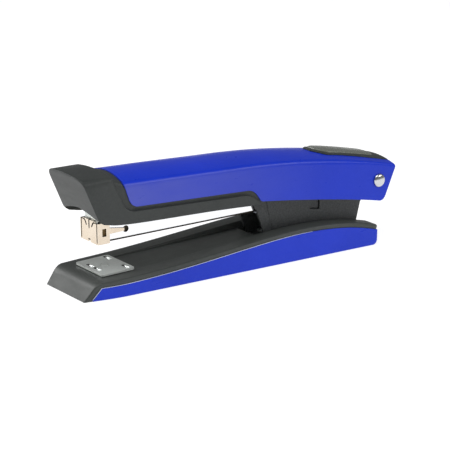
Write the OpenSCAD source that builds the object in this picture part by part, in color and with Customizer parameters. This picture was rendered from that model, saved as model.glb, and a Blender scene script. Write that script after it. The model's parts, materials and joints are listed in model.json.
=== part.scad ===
// Full-strip desk stapler: a wedge-shaped base with a yoke at its rear, a chrome magazine
// and a long cover, both hinged on one pin through the yoke.
// Millimetres, +Z up.  The nose points to -X and the tail to +X.  The origin is on the
// surface that the stapler rests on, under the middle of its overall length.

/* [Overall] */
// Length over everything, nose to tail
overall_l = 197; // [196:0.5:199]
// Angle of each circle's and arc's smoothness: number of sides in a full turn
smooth = 64; // [48:8:128]

/* [Base] */
// Length of the base
base_l = 181.5; // [180.5:0.5:183]
// Width of the base
base_w = 44; // [43:0.5:48]
// Wall of the blue base shell
base_wall = 2.2; // [1.8:0.1:2.6]
// Width of the sunken channel along the base's top
channel_w = 24; // [23:0.5:26]
// Thickness of the rubber foot
foot_t = 1.5; // [1.2:0.1:1.8]

/* [Anvil] */
// Distance of the anvil's turning axis from the nose
anvil_x = 23.6; // [22:0.2:25]
// Length of the anvil plate, along the stapler
anvil_l = 19.2; // [17:0.2:20]
// Width of the anvil plate, across the stapler
anvil_w = 26; // [24:0.5:28]
// Thickness of the anvil plate
anvil_t = 1.1; // [1:0.1:1.4]

/* [Hinge] */
// Distance of the hinge pin from the nose
pin_x = 185; // [184:0.5:186]
// Height of the hinge pin's axis
pin_z = 33.9; // [33.5:0.1:34.5]
// Diameter of the hinge pin
pin_d = 5; // [4.6:0.2:5.2]

/* [Yoke] */
// Outer width of the yoke
yoke_w = 20; // [19.6:0.1:20.4]
// Thickness of the yoke's metal
yoke_t = 1.5; // [1.2:0.1:1.5]

/* [Magazine] */
// Outer width of the magazine channel
magazine_w = 15.6; // [15.4:0.1:15.8]
// Height of the magazine channel's sides
magazine_h = 9; // [8.6:0.1:9.2]
// Upward slope of the magazine from nose to pin, in degrees
magazine_tilt = 0.64; // [0.5:0.02:0.8]
// Length of the strip of staples in it
strip_l = 60; // [40:1:66]

/* [Cover] */
// Width of the blue cover
cover_w = 34; // [33.6:0.1:34.4]
// Wall of the covers
cover_wall = 2; // [1.8:0.1:2.2]
// Height of the blue cover's crown above its side creases
crown_h = 3.3; // [3:0.1:4.2]
// Width of the black front cover
front_w = 35; // [34.8:0.1:35.6]

/* [Hidden] */

eps = 0.01;

// The straight and the bent stretch of the cover overlap by join, the straight one lap times the size
join = 0.5;
lap = 0.98;
far = 300;

// Running clearance between a shaft and a bore, and the gap between bodies that pass each other
run = 0.06;
gap = 0.3;

pin_r = pin_d / 2;
yoke_in = yoke_w / 2 - yoke_t;

// Base: side view
base_under = 0.5;
base_front = [0, base_under];
brow = [5.8, 7.4];
deck_front = [9, 9.0];
deck_rear = [40, 10.1];
deck_tilt = atan2(deck_rear[1] - deck_front[1], deck_rear[0] - deck_front[0]);
base_tail = [base_l, 10.9];
heel = [[base_l, 7], [base_l - 2, 3], [base_l - 4.5, base_under]];
floor_z = 3.3;
trough_z = 7;
trough_w = channel_w + 4;
pocket_z = 9;
pocket_front = 111.5;
pocket_rear = 176;
trough_rear = pocket_rear + 1.5;
hollow_rear = base_l - 2.7;
channel_front = anvil_x + anvil_l / 2 + 0.6;
blue_front = 4.2;
blue_brow = [9.2, 6.3];

// Anvil, measured along its own axis from the deck
button_r = 6.5;
button_z = -8.7;
button_t = 1.6;
post_r = 2;
collar_r = 3.2;

// Magazine, measured before it is tilted
mag_z = pin_z - 6.4;
mag_wall = 0.8;
mag_front = 20;
rail_front = 17;
rail_rear = 170;
rail_w = 11.6;
rail_wall = 0.8;
rail_top = mag_z + 6.7;
rod_z = mag_z + 4.4;
rod_r = 1.25;
ear_r = 6.3;
sheath_front = 14.6;
sheath_t = 0.8;
cheek_t = 0.6;
cheek_rear = 21.5;
pusher_front = rail_front + strip_l + 0.4;
pusher_l = 18;
spring_seat = rail_rear - 2;
cap_front = 130;

// Cover: its creases run straight from the nose, then bend down along one large arc
crease_z = 56.9;
crease_fall = 1.6;
bend_x = 95;
bend_r = 500;
bend_z = crease_z - bend_x * tan(crease_fall);
bend_c = [bend_x - bend_r * sin(crease_fall), bend_z - bend_r * cos(crease_fall)];
bend_steps = 360;
nose_front = 0.7;
nose_z = 61;
nose_fall = 0.8;
nose_crown = 1.7;
frame_w = 24.4;
frame_t = 1.2;
frame_front = 16;
frame_rear = 150;
frame_z = 50;
frame_fall = 1.5;
blade_t = 0.5;
blade_rivet_z = 46.9;
slot_w = 22;

// ---- helpers -------------------------------------------------------------------------

// Moves a design drawn from the nose so that the origin is under its middle
module placed() {
    translate([-overall_l / 2, 0, 0]) children();
}

// Extrudes a side view, drawn in length and height, to a width centred on Y = 0
module across(w) {
    rotate([90, 0, 0]) translate([0, 0, -w / 2]) linear_extrude(w) children();
}

// Keeps a pair of walls of thickness t, whose outer faces are w apart
module both_walls(w, t) {
    for (s = [-1, 1]) translate([0, s * (w - t) / 2, 0]) across(t) children();
}

// A cylinder along Y, w long
module cross_bar(x, z, r, w) {
    translate([x, 0, z]) rotate([90, 0, 0]) cylinder(r = r, h = w, center = true, $fn = smooth);
}

// A block from its low to its high corner
module block(low, high) {
    translate(low) cube(high - low);
}

function unit(v) = v / norm(v);

// A cubic curve
function curve(a, b, c, d, n = 16) = [
    for (i = [0:n]) let (t = i / n)
        a * pow(1 - t, 3) + b * 3 * t * pow(1 - t, 2) + c * 3 * t * t * (1 - t) + d * pow(t, 3)
];

// A closed outline whose corner i is rounded over the length cuts[i] of both its sides
function soften(pts, cuts, n = 5) = [
    for (i = [0:len(pts) - 1])
        let (
            p = pts[i],
            a = p + unit(pts[(i + len(pts) - 1) % len(pts)] - p) * cuts[i],
            b = p + unit(pts[(i + 1) % len(pts)] - p) * cuts[i]
        )
        each (cuts[i] == 0 ? [p] : [
            for (k = [0:n]) let (t = k / n) a * (1 - t) * (1 - t) + p * 2 * t * (1 - t) + b * t * t
        ])
];

// A strip of thickness t to the left of a line of points
function band(pts, t) = concat(pts, [
    for (i = [len(pts) - 1:-1:0])
        let (d = unit(pts[min(i + 1, len(pts) - 1)] - pts[max(i - 1, 0)]))
        pts[i] + t * [-d[1], d[0]]
]);

// A coil along +Z with flat-ended round wire
module coil(r, wire_r, length, turns, steps = 12, sides = 6) {
    rings = turns * steps;
    rise = (length - 2 * wire_r) / rings;
    points = [
        for (i = [0:rings], k = [0:sides - 1])
            let (a = 360 * i / steps, c = 360 * k / sides, d = r + wire_r * cos(c))
            [d * cos(a), d * sin(a), wire_r + rise * i + wire_r * sin(c)]
    ];
    function at(i, k) = i * sides + k % sides;
    walls = [
        for (i = [0:rings - 1], k = [0:sides - 1])
            each [[at(i, k), at(i + 1, k), at(i + 1, k + 1)], [at(i, k), at(i + 1, k + 1), at(i, k + 1)]]
    ];
    ends = [[for (k = [0:sides - 1]) k], [for (k = [sides - 1:-1:0]) rings * sides + k]];
    polyhedron(points, concat(walls, ends), convexity = 10);
}

// ---- base ----------------------------------------------------------------------------

// Plan view of the base: it narrows towards the nose
module base_plan() {
    half = base_w / 2;
    side = [[0, half - 3.4], [9, half - 1], [22, half], [base_l, half]];
    pts = concat(side, [for (i = [3:-1:0]) [side[i][0], -side[i][1]]]);
    linear_extrude(40) polygon(soften(pts, [2, 3, 3, 1.6, 1.6, 3, 3, 2]));
}

// Side view of the whole base: sloping front, then the long wave of the rim
module base_side() {
    rim = curve(deck_front, [94.3, 10.6], [130.9, 24.4], base_tail);
    polygon(concat([base_front, brow, (brow + deck_front) / 2 + [-0.35, 0.4]], rim, heel));
}

// Side view of the blue shell, below the black cover
module shell_side() {
    top = curve(blue_brow, [87.4, 6.6], [130.3, 23], [base_l, 8.1]);
    polygon(concat([[blue_front, base_under]], top, heel));
}

screw_at = [for (x = [60, 150], s = [-1, 1]) [x, s * 12, 0]];

module base_shell() {
    color("royalblue") placed() difference() {
        union() {
            difference() {
                intersection() {
                    base_plan();
                    across(base_w + 2) shell_side();
                }
                across(base_w - 2 * base_wall) polygon([
                    [8, floor_z], [11.5, trough_z], [11.5, 40], [hollow_rear, 40], [hollow_rear, floor_z]
                ]);
            }
            for (p = screw_at) translate(p + [0, 0, floor_z - eps]) cylinder(r = 3, h = trough_z - floor_z + eps, $fn = smooth);
        }
        block([6, -19, -1], [base_l - 9, 19, foot_t]);
        for (p = screw_at) {
            translate(p) cylinder(r = 1.25, h = 12, $fn = smooth);
            translate(p) cylinder(r = 2.8, h = 2.7, $fn = smooth);
        }
        translate([anvil_x, 0, -1]) cylinder(r = 9, h = 8, $fn = smooth);
    }
}

module base_cover() {
    color([0.25, 0.27, 0.28]) placed() difference() {
        intersection() {
            base_plan();
            across(base_w + 2) base_side();
        }
        difference() {
            across(base_w + 2) shell_side();
            across(trough_w) polygon([[12, trough_z], [12, 30], [trough_rear, 30], [trough_rear, trough_z]]);
        }
        // sunken channel
        across(channel_w) polygon([
            [channel_front, 9.4], [pocket_front, 13], [150, 13], [base_l - 2.5, 8.9], [base_l + 1, 8.9],
            [base_l + 1, 40], [channel_front, 40]
        ]);
        block([pocket_front, -yoke_w / 2 - 0.2, pocket_z], [pocket_rear, yoke_w / 2 + 0.2, 40]);
        deck_frame() translate([0, 0, -10]) cylinder(r = post_r + run, h = 20, $fn = smooth);
        deck_frame() translate([0, 0, -12]) cylinder(r = button_r + 0.5, h = 9.6, $fn = smooth);
        for (p = screw_at) translate(p) cylinder(r = 1.25, h = 10, $fn = smooth);
        for (p = rivet_at) translate(p) cylinder(r = 1.5, h = 20, $fn = smooth);
        translate([spring_rivet_x, 0, 0]) cylinder(r = 1.2, h = 20, $fn = smooth);
    }
}

module base_foot() {
    color([0.13, 0.13, 0.14]) placed() difference() {
        linear_extrude(foot_t) polygon(soften([[6.5, -18.5], [base_l - 9.5, -18.5], [base_l - 9.5, 18.5], [6.5, 18.5]], [3, 4, 4, 3]));
        translate([anvil_x, 0, -1]) cylinder(r = 9.5, h = 4, $fn = smooth);
        for (p = screw_at) translate(p + [0, 0, foot_t - 0.2]) cylinder(r = 2.8, h = 1, $fn = smooth);
    }
}

module base_screws() {
    color("silver") placed() for (p = screw_at) translate(p) difference() {
        union() {
            translate([0, 0, foot_t + 0.1]) cylinder(r = 2.6, h = 1.1, $fn = smooth);
            translate([0, 0, foot_t + 1]) cylinder(r = 1.25, h = 10 - foot_t - 1.2, $fn = smooth);
        }
        for (a = [0, 90]) rotate(a) block([-1.8, -0.3, 0], [1.8, 0.3, foot_t + 0.6]);
    }
}

// ---- yoke and hinge pin --------------------------------------------------------------

rivet_at = [for (x = [124, 168], s = [-1, 1]) [x, s * 6, 0]];
spring_rivet_x = 160;

module yoke_side() {
    polygon([
        [117, pocket_z], [110.2, 27], [107.6, 32.6], [110, 34], [pin_x - 5, 39.2], [pin_x, pin_z],
        [pin_x + 2, pin_z - 5.7], [181.5, 28.2], [178, 21.6], [174.8, pocket_z]
    ]);
}

module yoke() {
    color([0.22, 0.24, 0.25]) placed() difference() {
        union() {
            both_walls(yoke_w, yoke_t) yoke_side();
            for (s = [-1, 1]) translate([0, s * (yoke_w - yoke_t) / 2, 0]) cross_bar(pin_x, pin_z, 6, yoke_t);
            block([117, -yoke_w / 2, pocket_z], [174.8, yoke_w / 2, pocket_z + yoke_t]);
        }
        cross_bar(pin_x, pin_z, pin_r, yoke_w + 2);
        // window and tongue on each side
        difference() {
            across(yoke_w + 2) polygon([[144, 23], [150.5, 22], [150.5, 28], [144, 29]]);
            across(yoke_w - 0.8) polygon([[144.6, 23.5], [149.9, 22.7], [149.9, 40], [144.6, 40]]);
        }
        for (p = rivet_at) translate(p) cylinder(r = 1.5, h = 20, $fn = smooth);
        translate([spring_rivet_x, 0, 0]) cylinder(r = 1.2, h = 20, $fn = smooth);
    }
}

module rivet(r, low, high, head_r, head_t) {
    translate([0, 0, low]) cylinder(r = r, h = high - low, $fn = smooth);
    translate([0, 0, high]) cylinder(r = head_r, h = head_t, $fn = smooth);
    translate([0, 0, low - head_t]) cylinder(r = head_r, h = head_t, $fn = smooth);
}

module yoke_rivets() {
    color("silver") placed() for (p = rivet_at) translate(p) rivet(1.5, trough_z, pocket_z + yoke_t, 2.2, 0.8);
}

lift_t = 0.6;
lift_z = pocket_z + yoke_t;

module lift_spring() {
    tip = [122, mag_z - (pin_x - 122) * tan(magazine_tilt) - 0.15 - lift_t];
    color("lightsteelblue") placed() difference() {
        across(7) polygon(band(concat(
            curve(tip - [6, 3.2], tip - [4, 0], tip - [3, 0], tip, 5),
            curve(tip + [0.5, -0.1], tip + [10, -3], [140, lift_z], [152, lift_z], 10),
            [[173, lift_z]]
        ), lift_t));
        translate([spring_rivet_x, 0, 0]) cylinder(r = 1.2, h = 20, $fn = smooth);
    }
}

module lift_spring_rivet() {
    color("silver") placed() translate([spring_rivet_x, 0, 0]) rivet(1.2, trough_z, lift_z + lift_t, 2, 0.6);
}

module pivot_pin() {
    reach = cover_w / 2 + 0.15;
    color("white") placed() union() {
        cross_bar(pin_x, pin_z, pin_r, 2 * reach);
        translate([pin_x, -reach, pin_z]) rotate([90, 0, 0]) rotate_extrude($fn = smooth)
            polygon(concat([[0, 0], [3.6, 0]], curve([3.6, 0.5], [3.2, 1.4], [2, 1.9], [0, 1.9], 8)));
    }
}

module pin_cap() {
    reach = cover_w / 2 + 0.15;
    color("white") placed() translate([pin_x, reach, pin_z]) rotate([-90, 0, 0]) rotate_extrude($fn = smooth)
        polygon(concat([[0, 0], [3.6, 0]], curve([3.6, 0.5], [3.2, 1.4], [2, 1.9], [0, 1.9], 8)));
}

module pin_washers() {
    color("ivory") placed() for (s = [-1, 1]) translate([0, s * (yoke_w / 2 + 0.45), 0]) difference() {
        cross_bar(pin_x, pin_z, 5, 0.8);
        cross_bar(pin_x, pin_z, pin_r + run, 2);
    }
}

// ---- anvil ---------------------------------------------------------------------------

// Frame of the anvil: its axis stands square to the tilted deck
module deck_frame() {
    translate([anvil_x, 0, deck_front[1] + (anvil_x - deck_front[0]) * tan(deck_tilt)])
        rotate([0, -deck_tilt, 0]) children();
}

module anvil_plate() {
    half = [anvil_l / 2, anvil_w / 2];
    corners = [-half, [half[0], -half[1]], half, [-half[0], half[1]]];
    groove_r = 7.5;
    groove_d = 0.75;
    color([0.6, 0.62, 0.62]) placed() deck_frame() difference() {
        translate([0, 0, gap]) linear_extrude(anvil_t) polygon(soften(corners, [1.5, 1.5, 1.5, 1.5]));
        for (at = [[-6.6, 3.4], [-6.6, -3.4], [6.6, 8.8], [6.6, -8.8]])
            translate([at[0], at[1], gap + anvil_t + groove_r - groove_d])
                rotate([0, 90, 0]) cylinder(r = groove_r, h = 1.7, center = true, $fn = smooth);
        cylinder(r = post_r, h = 10, $fn = smooth);
    }
}

module anvil_post() {
    color("silver") placed() deck_frame() difference() {
        union() {
            translate([0, 0, button_z + 0.15]) cylinder(r = post_r, h = gap + anvil_t - button_z - 0.15, $fn = smooth);
            translate([0, 0, button_z + button_t + 0.1]) cylinder(r = collar_r, h = 0.7, $fn = smooth);
        }
        translate([0, 0, button_z + 0.3]) difference() {
            cylinder(r = post_r + 1, h = 0.5, $fn = smooth);
            cylinder(r = post_r - 0.5, h = 0.5, $fn = smooth);
        }
    }
}

module anvil_button() {
    color([0.2, 0.2, 0.2]) placed() deck_frame() difference() {
        translate([0, 0, button_z]) cylinder(r = button_r, h = button_t, $fn = smooth);
        translate([0, 0, button_z - 1]) cylinder(r = post_r + run, h = 5, $fn = smooth);
        translate([0, 0, button_z - 1]) cylinder(r = 3.8, h = 2, $fn = smooth);
    }
}

module anvil_clip() {
    color("gray") placed() deck_frame() translate([0, 0, button_z + 0.35]) difference() {
        cylinder(r = 3.2, h = 0.4, $fn = smooth);
        translate([0, 0, -1]) cylinder(r = post_r - 0.45, h = 2, $fn = smooth);
        block([0, -1.3, -1], [4, 1.3, 2]);
    }
}

module anvil_spring() {
    seat = button_z + button_t + 0.05;
    color("silver") placed() deck_frame() translate([0, 0, seat]) coil(4.6, 0.35, -2.45 - seat, 4);
}

// ---- magazine ------------------------------------------------------------------------

// Tilts the level magazine about the hinge pin
module tilted() {
    placed() translate([pin_x, 0, pin_z]) rotate([0, -magazine_tilt, 0]) translate([-pin_x, 0, -pin_z]) children();
}

module magazine_channel() {
    color([0.9, 0.9, 0.92]) tilted() difference() {
        union() {
            difference() {
                block([mag_front, -magazine_w / 2, mag_z], [pin_x, magazine_w / 2, mag_z + magazine_h]);
                block([0, -magazine_w / 2 + mag_wall, mag_z + mag_wall], [far, magazine_w / 2 - mag_wall, 60]);
            }
            for (s = [-1, 1]) translate([0, s * (magazine_w - mag_wall) / 2, 0]) cross_bar(pin_x, pin_z, ear_r, mag_wall);
        }
        block([pin_x - 8, -magazine_w / 2 + mag_wall, 0], [far, magazine_w / 2 - mag_wall, 60]);
        cross_bar(pin_x, pin_z, pin_r + run, magazine_w + 2);
        cross_bar(31.2, mag_z + 4.6, 1.7, magazine_w + 2);
        for (x = rail_rivet_x) translate([x, 0, 0]) cylinder(r = 1, h = 60, $fn = smooth);
    }
}

rail_rivet_x = [40, 150];

module staple_rail() {
    low = mag_z + mag_wall;
    color("silver") tilted() difference() {
        block([rail_front, -rail_w / 2, low], [rail_rear, rail_w / 2, rail_top]);
        block([rail_front + 1.2, -rail_w / 2 + rail_wall, low + rail_wall], [spring_seat, rail_w / 2 - rail_wall, 60]);
        translate([0, 0, rod_z]) rotate([0, 90, 0]) cylinder(r = rod_r, h = far, $fn = smooth);
        for (x = rail_rivet_x) translate([x, 0, 0]) cylinder(r = 1, h = rail_top - 2, $fn = smooth);
    }
}

module rail_rivets() {
    color("silver") tilted() for (x = rail_rivet_x) translate([x, 0, 0])
        rivet(1, mag_z, mag_z + mag_wall + rail_wall, 1.6, 0.4);
}

// Outline of a hooked slot in the front plate: height below its top, distance from the middle
hook = [
    [-0.9, 6.9], [-0.9, 5.0], [-1.5, 4.0], [-3.4, 2.9],
    [-3.2, 2.0], [-1.1, 3.1], [-0.35, 4.4], [-0.35, 6.9]
];

module front_sheath() {
    top = mag_z + 10.4;
    low = mag_z - 1.1;
    half = magazine_w / 2 + 0.05 + cheek_t;
    color([0.87, 0.76, 0.6]) tilted() difference() {
        union() {
            block([sheath_front, -half, low], [cheek_rear, half, top - 0.6]);
            block([sheath_front, -6, low], [sheath_front + sheath_t, 6, top]);
            both_walls(2 * half, cheek_t) polygon([
                [cheek_rear - 1, mag_z + 3.6], [30, mag_z + 3.9], [30, mag_z + 5.4], [cheek_rear - 1, mag_z + 6.9]
            ]);
        }
        block([sheath_front + sheath_t, -half + cheek_t, 0], [far, half - cheek_t, 60]);
        across(far) polygon([[17.2, mag_z + 2.8], [19.5, mag_z + 2.8], [19.5, mag_z + 6.8], [17.2, mag_z + 6.8]]);
        // slit, hooked side slots and lower notch of the front plate
        block([0, -0.5, top - 4.4], [sheath_front + 1, 0.5, 60]);
        for (s = [-1, 1]) translate([sheath_front + 1, 0, top]) rotate([0, -90, 0]) linear_extrude(sheath_front + 1)
            polygon([for (p = hook) [p[0], s * p[1]]]);
        block([0, -1, 0], [sheath_front + 1, 1, low + 1.8]);
    }
}

module magazine_cap() {
    color([0.9, 0.9, 0.92]) tilted()
        block([cap_front, -magazine_w / 2, mag_z + magazine_h], [176, magazine_w / 2, mag_z + magazine_h + 0.8]);
}

module guide_rod() {
    color("silver") tilted() translate([rail_front + 0.2, 0, rod_z]) rotate([0, 90, 0])
        cylinder(r = rod_r, h = rail_rear - rail_front - 0.2, $fn = smooth);
}

// Inverted U that straddles the rail, with legs of thickness t and inner width w
module straddle(x0, x1, w, t, low, top) {
    difference() {
        block([x0, -w / 2 - t, low], [x1, w / 2 + t, top]);
        block([x0 - 1, -w / 2, 0], [x1 + 1, w / 2, top - t]);
    }
}

module staple_strip() {
    color("lightgray") tilted()
        straddle(rail_front + 0.1, rail_front + strip_l, rail_w + 0.2, 0.5, mag_z + 1.1, rail_top + 0.6);
}

module pusher() {
    rear = pusher_front + pusher_l;
    color([0.3, 0.3, 0.32]) tilted() difference() {
        union() {
            straddle(pusher_front, rear, rail_w + 0.6, 0.6, mag_z + 1.3, rail_top + 0.9);
            block([pusher_front, -4.4, mag_z + 2.4], [rear, 4.4, rail_top + 0.5]);
        }
        translate([0, 0, rod_z]) rotate([0, 90, 0]) cylinder(r = rod_r + run, h = far, $fn = smooth);
    }
}

module pusher_spring() {
    rear = pusher_front + pusher_l + 0.1;
    color("silver") tilted() translate([rear, 0, rod_z]) rotate([0, 90, 0]) coil(2, 0.3, spring_seat - rear - 0.05, 15, 10, 5);
}

// ---- cover ---------------------------------------------------------------------------

// Half of a crowned section: sides hw from the middle, top h above the creases
module crowned(hw, h, deep = 45) {
    r = (hw * hw + h * h) / (2 * h);
    intersection() {
        translate([0, h - r]) circle(r = r, $fn = 360);
        translate([-hw, -deep]) square([2 * hw, deep + h + 1]);
    }
}

// Sweeps a section along the cover's creases, from the nose to past the tail.  The straight
// stretch is a hair smaller and reaches into the arc, so that the two join as one solid.
module along_crease() {
    translate([0, 0, crease_z]) rotate([0, crease_fall, 0]) rotate([90, 0, 90])
        linear_extrude(bend_x / cos(crease_fall) + join) scale(lap) children();
    last = acos((overall_l + 5 - bend_c[0]) / bend_r);
    translate([bend_c[0], 0, bend_c[1]]) rotate([90, 0, 0]) rotate([0, 0, last])
        rotate_extrude(angle = 90 - crease_fall - last, $fn = bend_steps)
            translate([bend_r, 0]) rotate(-90) children();
}

// Side view of the blue cover
module cover_side() {
    low = curve([108.2, 34.3], [117.4, 33.5], [162.6, 27.7], [184, 22.4], 10);
    front = soften([[24, 70], [24.9, 56.2], [29.2, 44], [104.6, 41.3], [107.6, 35]], [0, 0, 3, 3.5, 0]);
    tail = soften([
        [184, 22.4], [189.4, 21.2], [overall_l, 39.2], [overall_l, 41], [overall_l - 2.2, 44], [150, 70]
    ], [0, 3, 0, 0.8, 0.8, 0]);
    polygon(concat(front, low, [for (i = [1:len(tail) - 1]) tail[i]]));
}

cover_screw_at = [[50, 0], [120, 0]];

module cover_shell() {
    inner = cover_w / 2 - cover_wall;
    color("royalblue") placed() difference() {
        intersection() {
            along_crease() crowned(cover_w / 2, crown_h);
            across(cover_w + 2) cover_side();
        }
        difference() {
            intersection() {
                along_crease() crowned(inner, crown_h - cover_wall, 60);
                block([0, -inner, 0], [overall_l - 2.4, inner, 80]);
            }
            for (p = cover_screw_at) translate([p[0], p[1], frame_top(p[0] - 3) + 0.05]) cylinder(r = 3, h = 20, $fn = smooth);
        }
        block([pin_x + 3, -slot_w / 2, 0], [far, slot_w / 2, 39.6]);
        cross_bar(pin_x, pin_z, pin_r + run, cover_w + 2);
        for (p = cover_screw_at) translate([p[0], p[1], 0]) cylinder(r = 1.25, h = frame_top(p[0]) + 6, $fn = smooth);
    }
}

// Side view of the black front cover: the nose, and a strip below the blue cover
module front_side() {
    low = curve([16, 37], [24.9, 34.5], [69.7, 36.6], [107, 33.1], 12);
    nose = soften([[nose_front, 70], [nose_front, nose_z], [9.6, 38.6], [12.5, 37.3]], [0, 0, 1, 1]);
    rear = soften([[107, 33.1], [107.6, 35], [104.6, 41.3], [29.2, 44], [24.9, 56.2], [24, 70]], [0, 0, 3.5, 3, 0, 0]);
    polygon(concat(nose, low, [for (i = [1:len(rear) - 1]) rear[i]]));
}

nose_screw_at = [[21, -8], [21, 8]];

module front_cover() {
    inner = front_w - 4.6;
    color([0.26, 0.28, 0.29]) placed() difference() {
        intersection() {
            translate([0, 0, nose_z + nose_front * tan(nose_fall)]) rotate([0, nose_fall, 0]) rotate([90, 0, 90])
                linear_extrude(120) crowned(front_w / 2, nose_crown);
            across(front_w + 2) front_side();
        }
        difference() {
            across(inner) polygon([[4.6, 56.6], [12.3, 38.2], [12.3, 10], [130, 10], [130, 56.6]]);
            for (p = nose_screw_at) translate([p[0], p[1], frame_top(p[0] - 2.6) + 0.05]) cylinder(r = 2.6, h = 20, $fn = smooth);
        }
        // arch in the lower edge of the nose, around the magazine's head
        translate([-5, 0, 27]) rotate([0, 90, 0]) cylinder(r = 14, h = 20, $fn = smooth);
        for (p = nose_screw_at) translate([p[0], p[1], 0]) cylinder(r = 1.25, h = frame_top(p[0]) + 5, $fn = smooth);
    }
}

// Height of the frame's top plate
function frame_top(x) = frame_z - (x - frame_front) * tan(frame_fall);

module frame_side() {
    polygon([
        [frame_front, frame_top(frame_front)], [frame_rear, frame_top(frame_rear)], [pin_x, pin_z + 7],
        [pin_x + 5, pin_z + 4.6], [pin_x + 3, pin_z - 6], [pin_x - 5, pin_z - 5], [112, 38.5], [frame_front + 6, 42]
    ]);
}

module cover_frame() {
    color([0.7, 0.72, 0.74]) placed() difference() {
        across(frame_w) frame_side();
        difference() {
            across(frame_w - 2 * frame_t) polygon([
                [0, 0], [0, frame_top(0) - frame_t], [frame_rear, frame_top(frame_rear) - frame_t],
                [frame_rear, 80], [far, 80], [far, 0]
            ]);
            // tab for the driver blade
            block([frame_front + blade_t, -6, 43], [frame_front + blade_t + frame_t, 6, 60]);
        }
        block([0, -6.4, 0], [frame_front + blade_t, 6.4, 60]);
        cross_bar(pin_x, pin_z, pin_r + run, frame_w + 2);
        for (p = concat(cover_screw_at, nose_screw_at)) translate([p[0], p[1], 0]) cylinder(r = 1.3, h = 80, $fn = smooth);
        for (s = [-1, 1]) translate([0, 3 * s, blade_rivet_z]) rotate([0, 90, 0]) cylinder(r = 1, h = frame_front + 8, $fn = smooth);
        translate([cover_rivet_x, 0, 0]) cylinder(r = 1.2, h = 80, $fn = smooth);
    }
}

module cover_screws() {
    color("silver") placed() for (p = concat(cover_screw_at, nose_screw_at)) {
        under = frame_top(p[0] + 3) - frame_t - 0.1;
        translate([p[0], p[1], under - 1.5]) difference() {
            union() {
                cylinder(r = 2.5, h = 1.5, $fn = smooth);
                cylinder(r = 1.25, h = 7, $fn = smooth);
            }
            for (a = [0, 90]) rotate(a) block([-1.6, -0.3, -1], [1.6, 0.3, 0.7]);
        }
    }
}

cover_rivet_x = 76;
leaf_t = 0.6;

module cover_spring() {
    tip = [141, mag_z + magazine_h + 0.8 - (pin_x - 141) * tan(magazine_tilt) + 0.15];
    root = [70, frame_top(70) - frame_t - leaf_t];
    flat = [84, frame_top(84) - frame_t - leaf_t];
    color("lightsteelblue") placed() difference() {
        across(8) polygon(band(concat(
            [root],
            curve(flat, flat + [16, -0.6], tip + [-20, 4], tip + [-3, 0.3], 10),
            curve(tip, tip + [2, 0], tip + [4, 0.6], tip + [6, 2], 4)
        ), leaf_t));
        translate([cover_rivet_x, 0, 0]) cylinder(r = 1.2, h = 80, $fn = smooth);
    }
}

module cover_spring_rivet() {
    color("silver") placed() translate([cover_rivet_x, 0, 0])
        rivet(1.2, frame_top(cover_rivet_x) - frame_t - leaf_t - 0.1, frame_top(cover_rivet_x) + 0.1, 2, 0.6);
}

module driver_blade() {
    color("silver") placed() difference() {
        block([frame_front, -6.2, pin_z], [frame_front + blade_t, 6.2, frame_top(frame_front) - frame_t - 0.2]);
        for (s = [-1, 1]) translate([0, 3 * s, blade_rivet_z]) rotate([0, 90, 0]) cylinder(r = 1, h = far, $fn = smooth);
    }
}

module blade_rivets() {
    color("silver") placed() for (s = [-1, 1]) translate([0, 3 * s, blade_rivet_z]) rotate([0, 90, 0])
        rivet(1, frame_front, frame_front + blade_t + frame_t, 1.7, 0.5);
}

// ---- tail pad ------------------------------------------------------------------------

// Solid from the crown up to a height above it, over a plan outline
module on_crown(rise) {
    intersection() {
        difference() {
            along_crease() crowned(cover_w / 2 - 3, crown_h + rise - 0.6, 10);
            along_crease() crowned(cover_w / 2, crown_h, 60);
        }
        linear_extrude(80) children();
    }
}

module bezel_plan() {
    polygon(soften([[149.5, -4], [154.5, -9.5], [194.5, -9.5], [194.5, 9.5], [154.5, 9.5], [149.5, 4]], [2, 2, 2, 2, 2, 2]));
}

module pad_plan() {
    polygon(soften([[152.5, -3.4], [157, -7.5], [188, -7.5], [188, 7.5], [157, 7.5], [152.5, 3.4]], [2, 2, 4, 4, 2, 2]));
}

module tail_bezel() {
    color([0.2, 0.21, 0.22]) placed() difference() {
        on_crown(1.1) bezel_plan();
        linear_extrude(80) pad_plan();
    }
}

module tail_pad() {
    color([0.35, 0.36, 0.34]) placed() on_crown(1.8) pad_plan();
}

// ---- output --------------------------------------------------------------------------

base_shell();
base_cover();
base_foot();
base_screws();
yoke();
yoke_rivets();
lift_spring();
lift_spring_rivet();
pivot_pin();
pin_cap();
pin_washers();
anvil_button();
anvil_spring();
anvil_plate();
anvil_post();
anvil_clip();
magazine_channel();
staple_rail();
rail_rivets();
front_sheath();
magazine_cap();
guide_rod();
staple_strip();
pusher();
pusher_spring();
cover_frame();
cover_shell();
front_cover();
cover_screws();
cover_spring();
cover_spring_rivet();
driver_blade();
blade_rivets();
tail_bezel();
tail_pad();
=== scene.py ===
"""Looks of the full-strip desk stapler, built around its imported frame.

Lengths in this script are millimetres, in the stapler's own stations: X from the nose, Y from
the middle plane and Z from the surface that it stands on. at() turns a station into the frame.
"""
import contextlib
import json
import math

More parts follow.
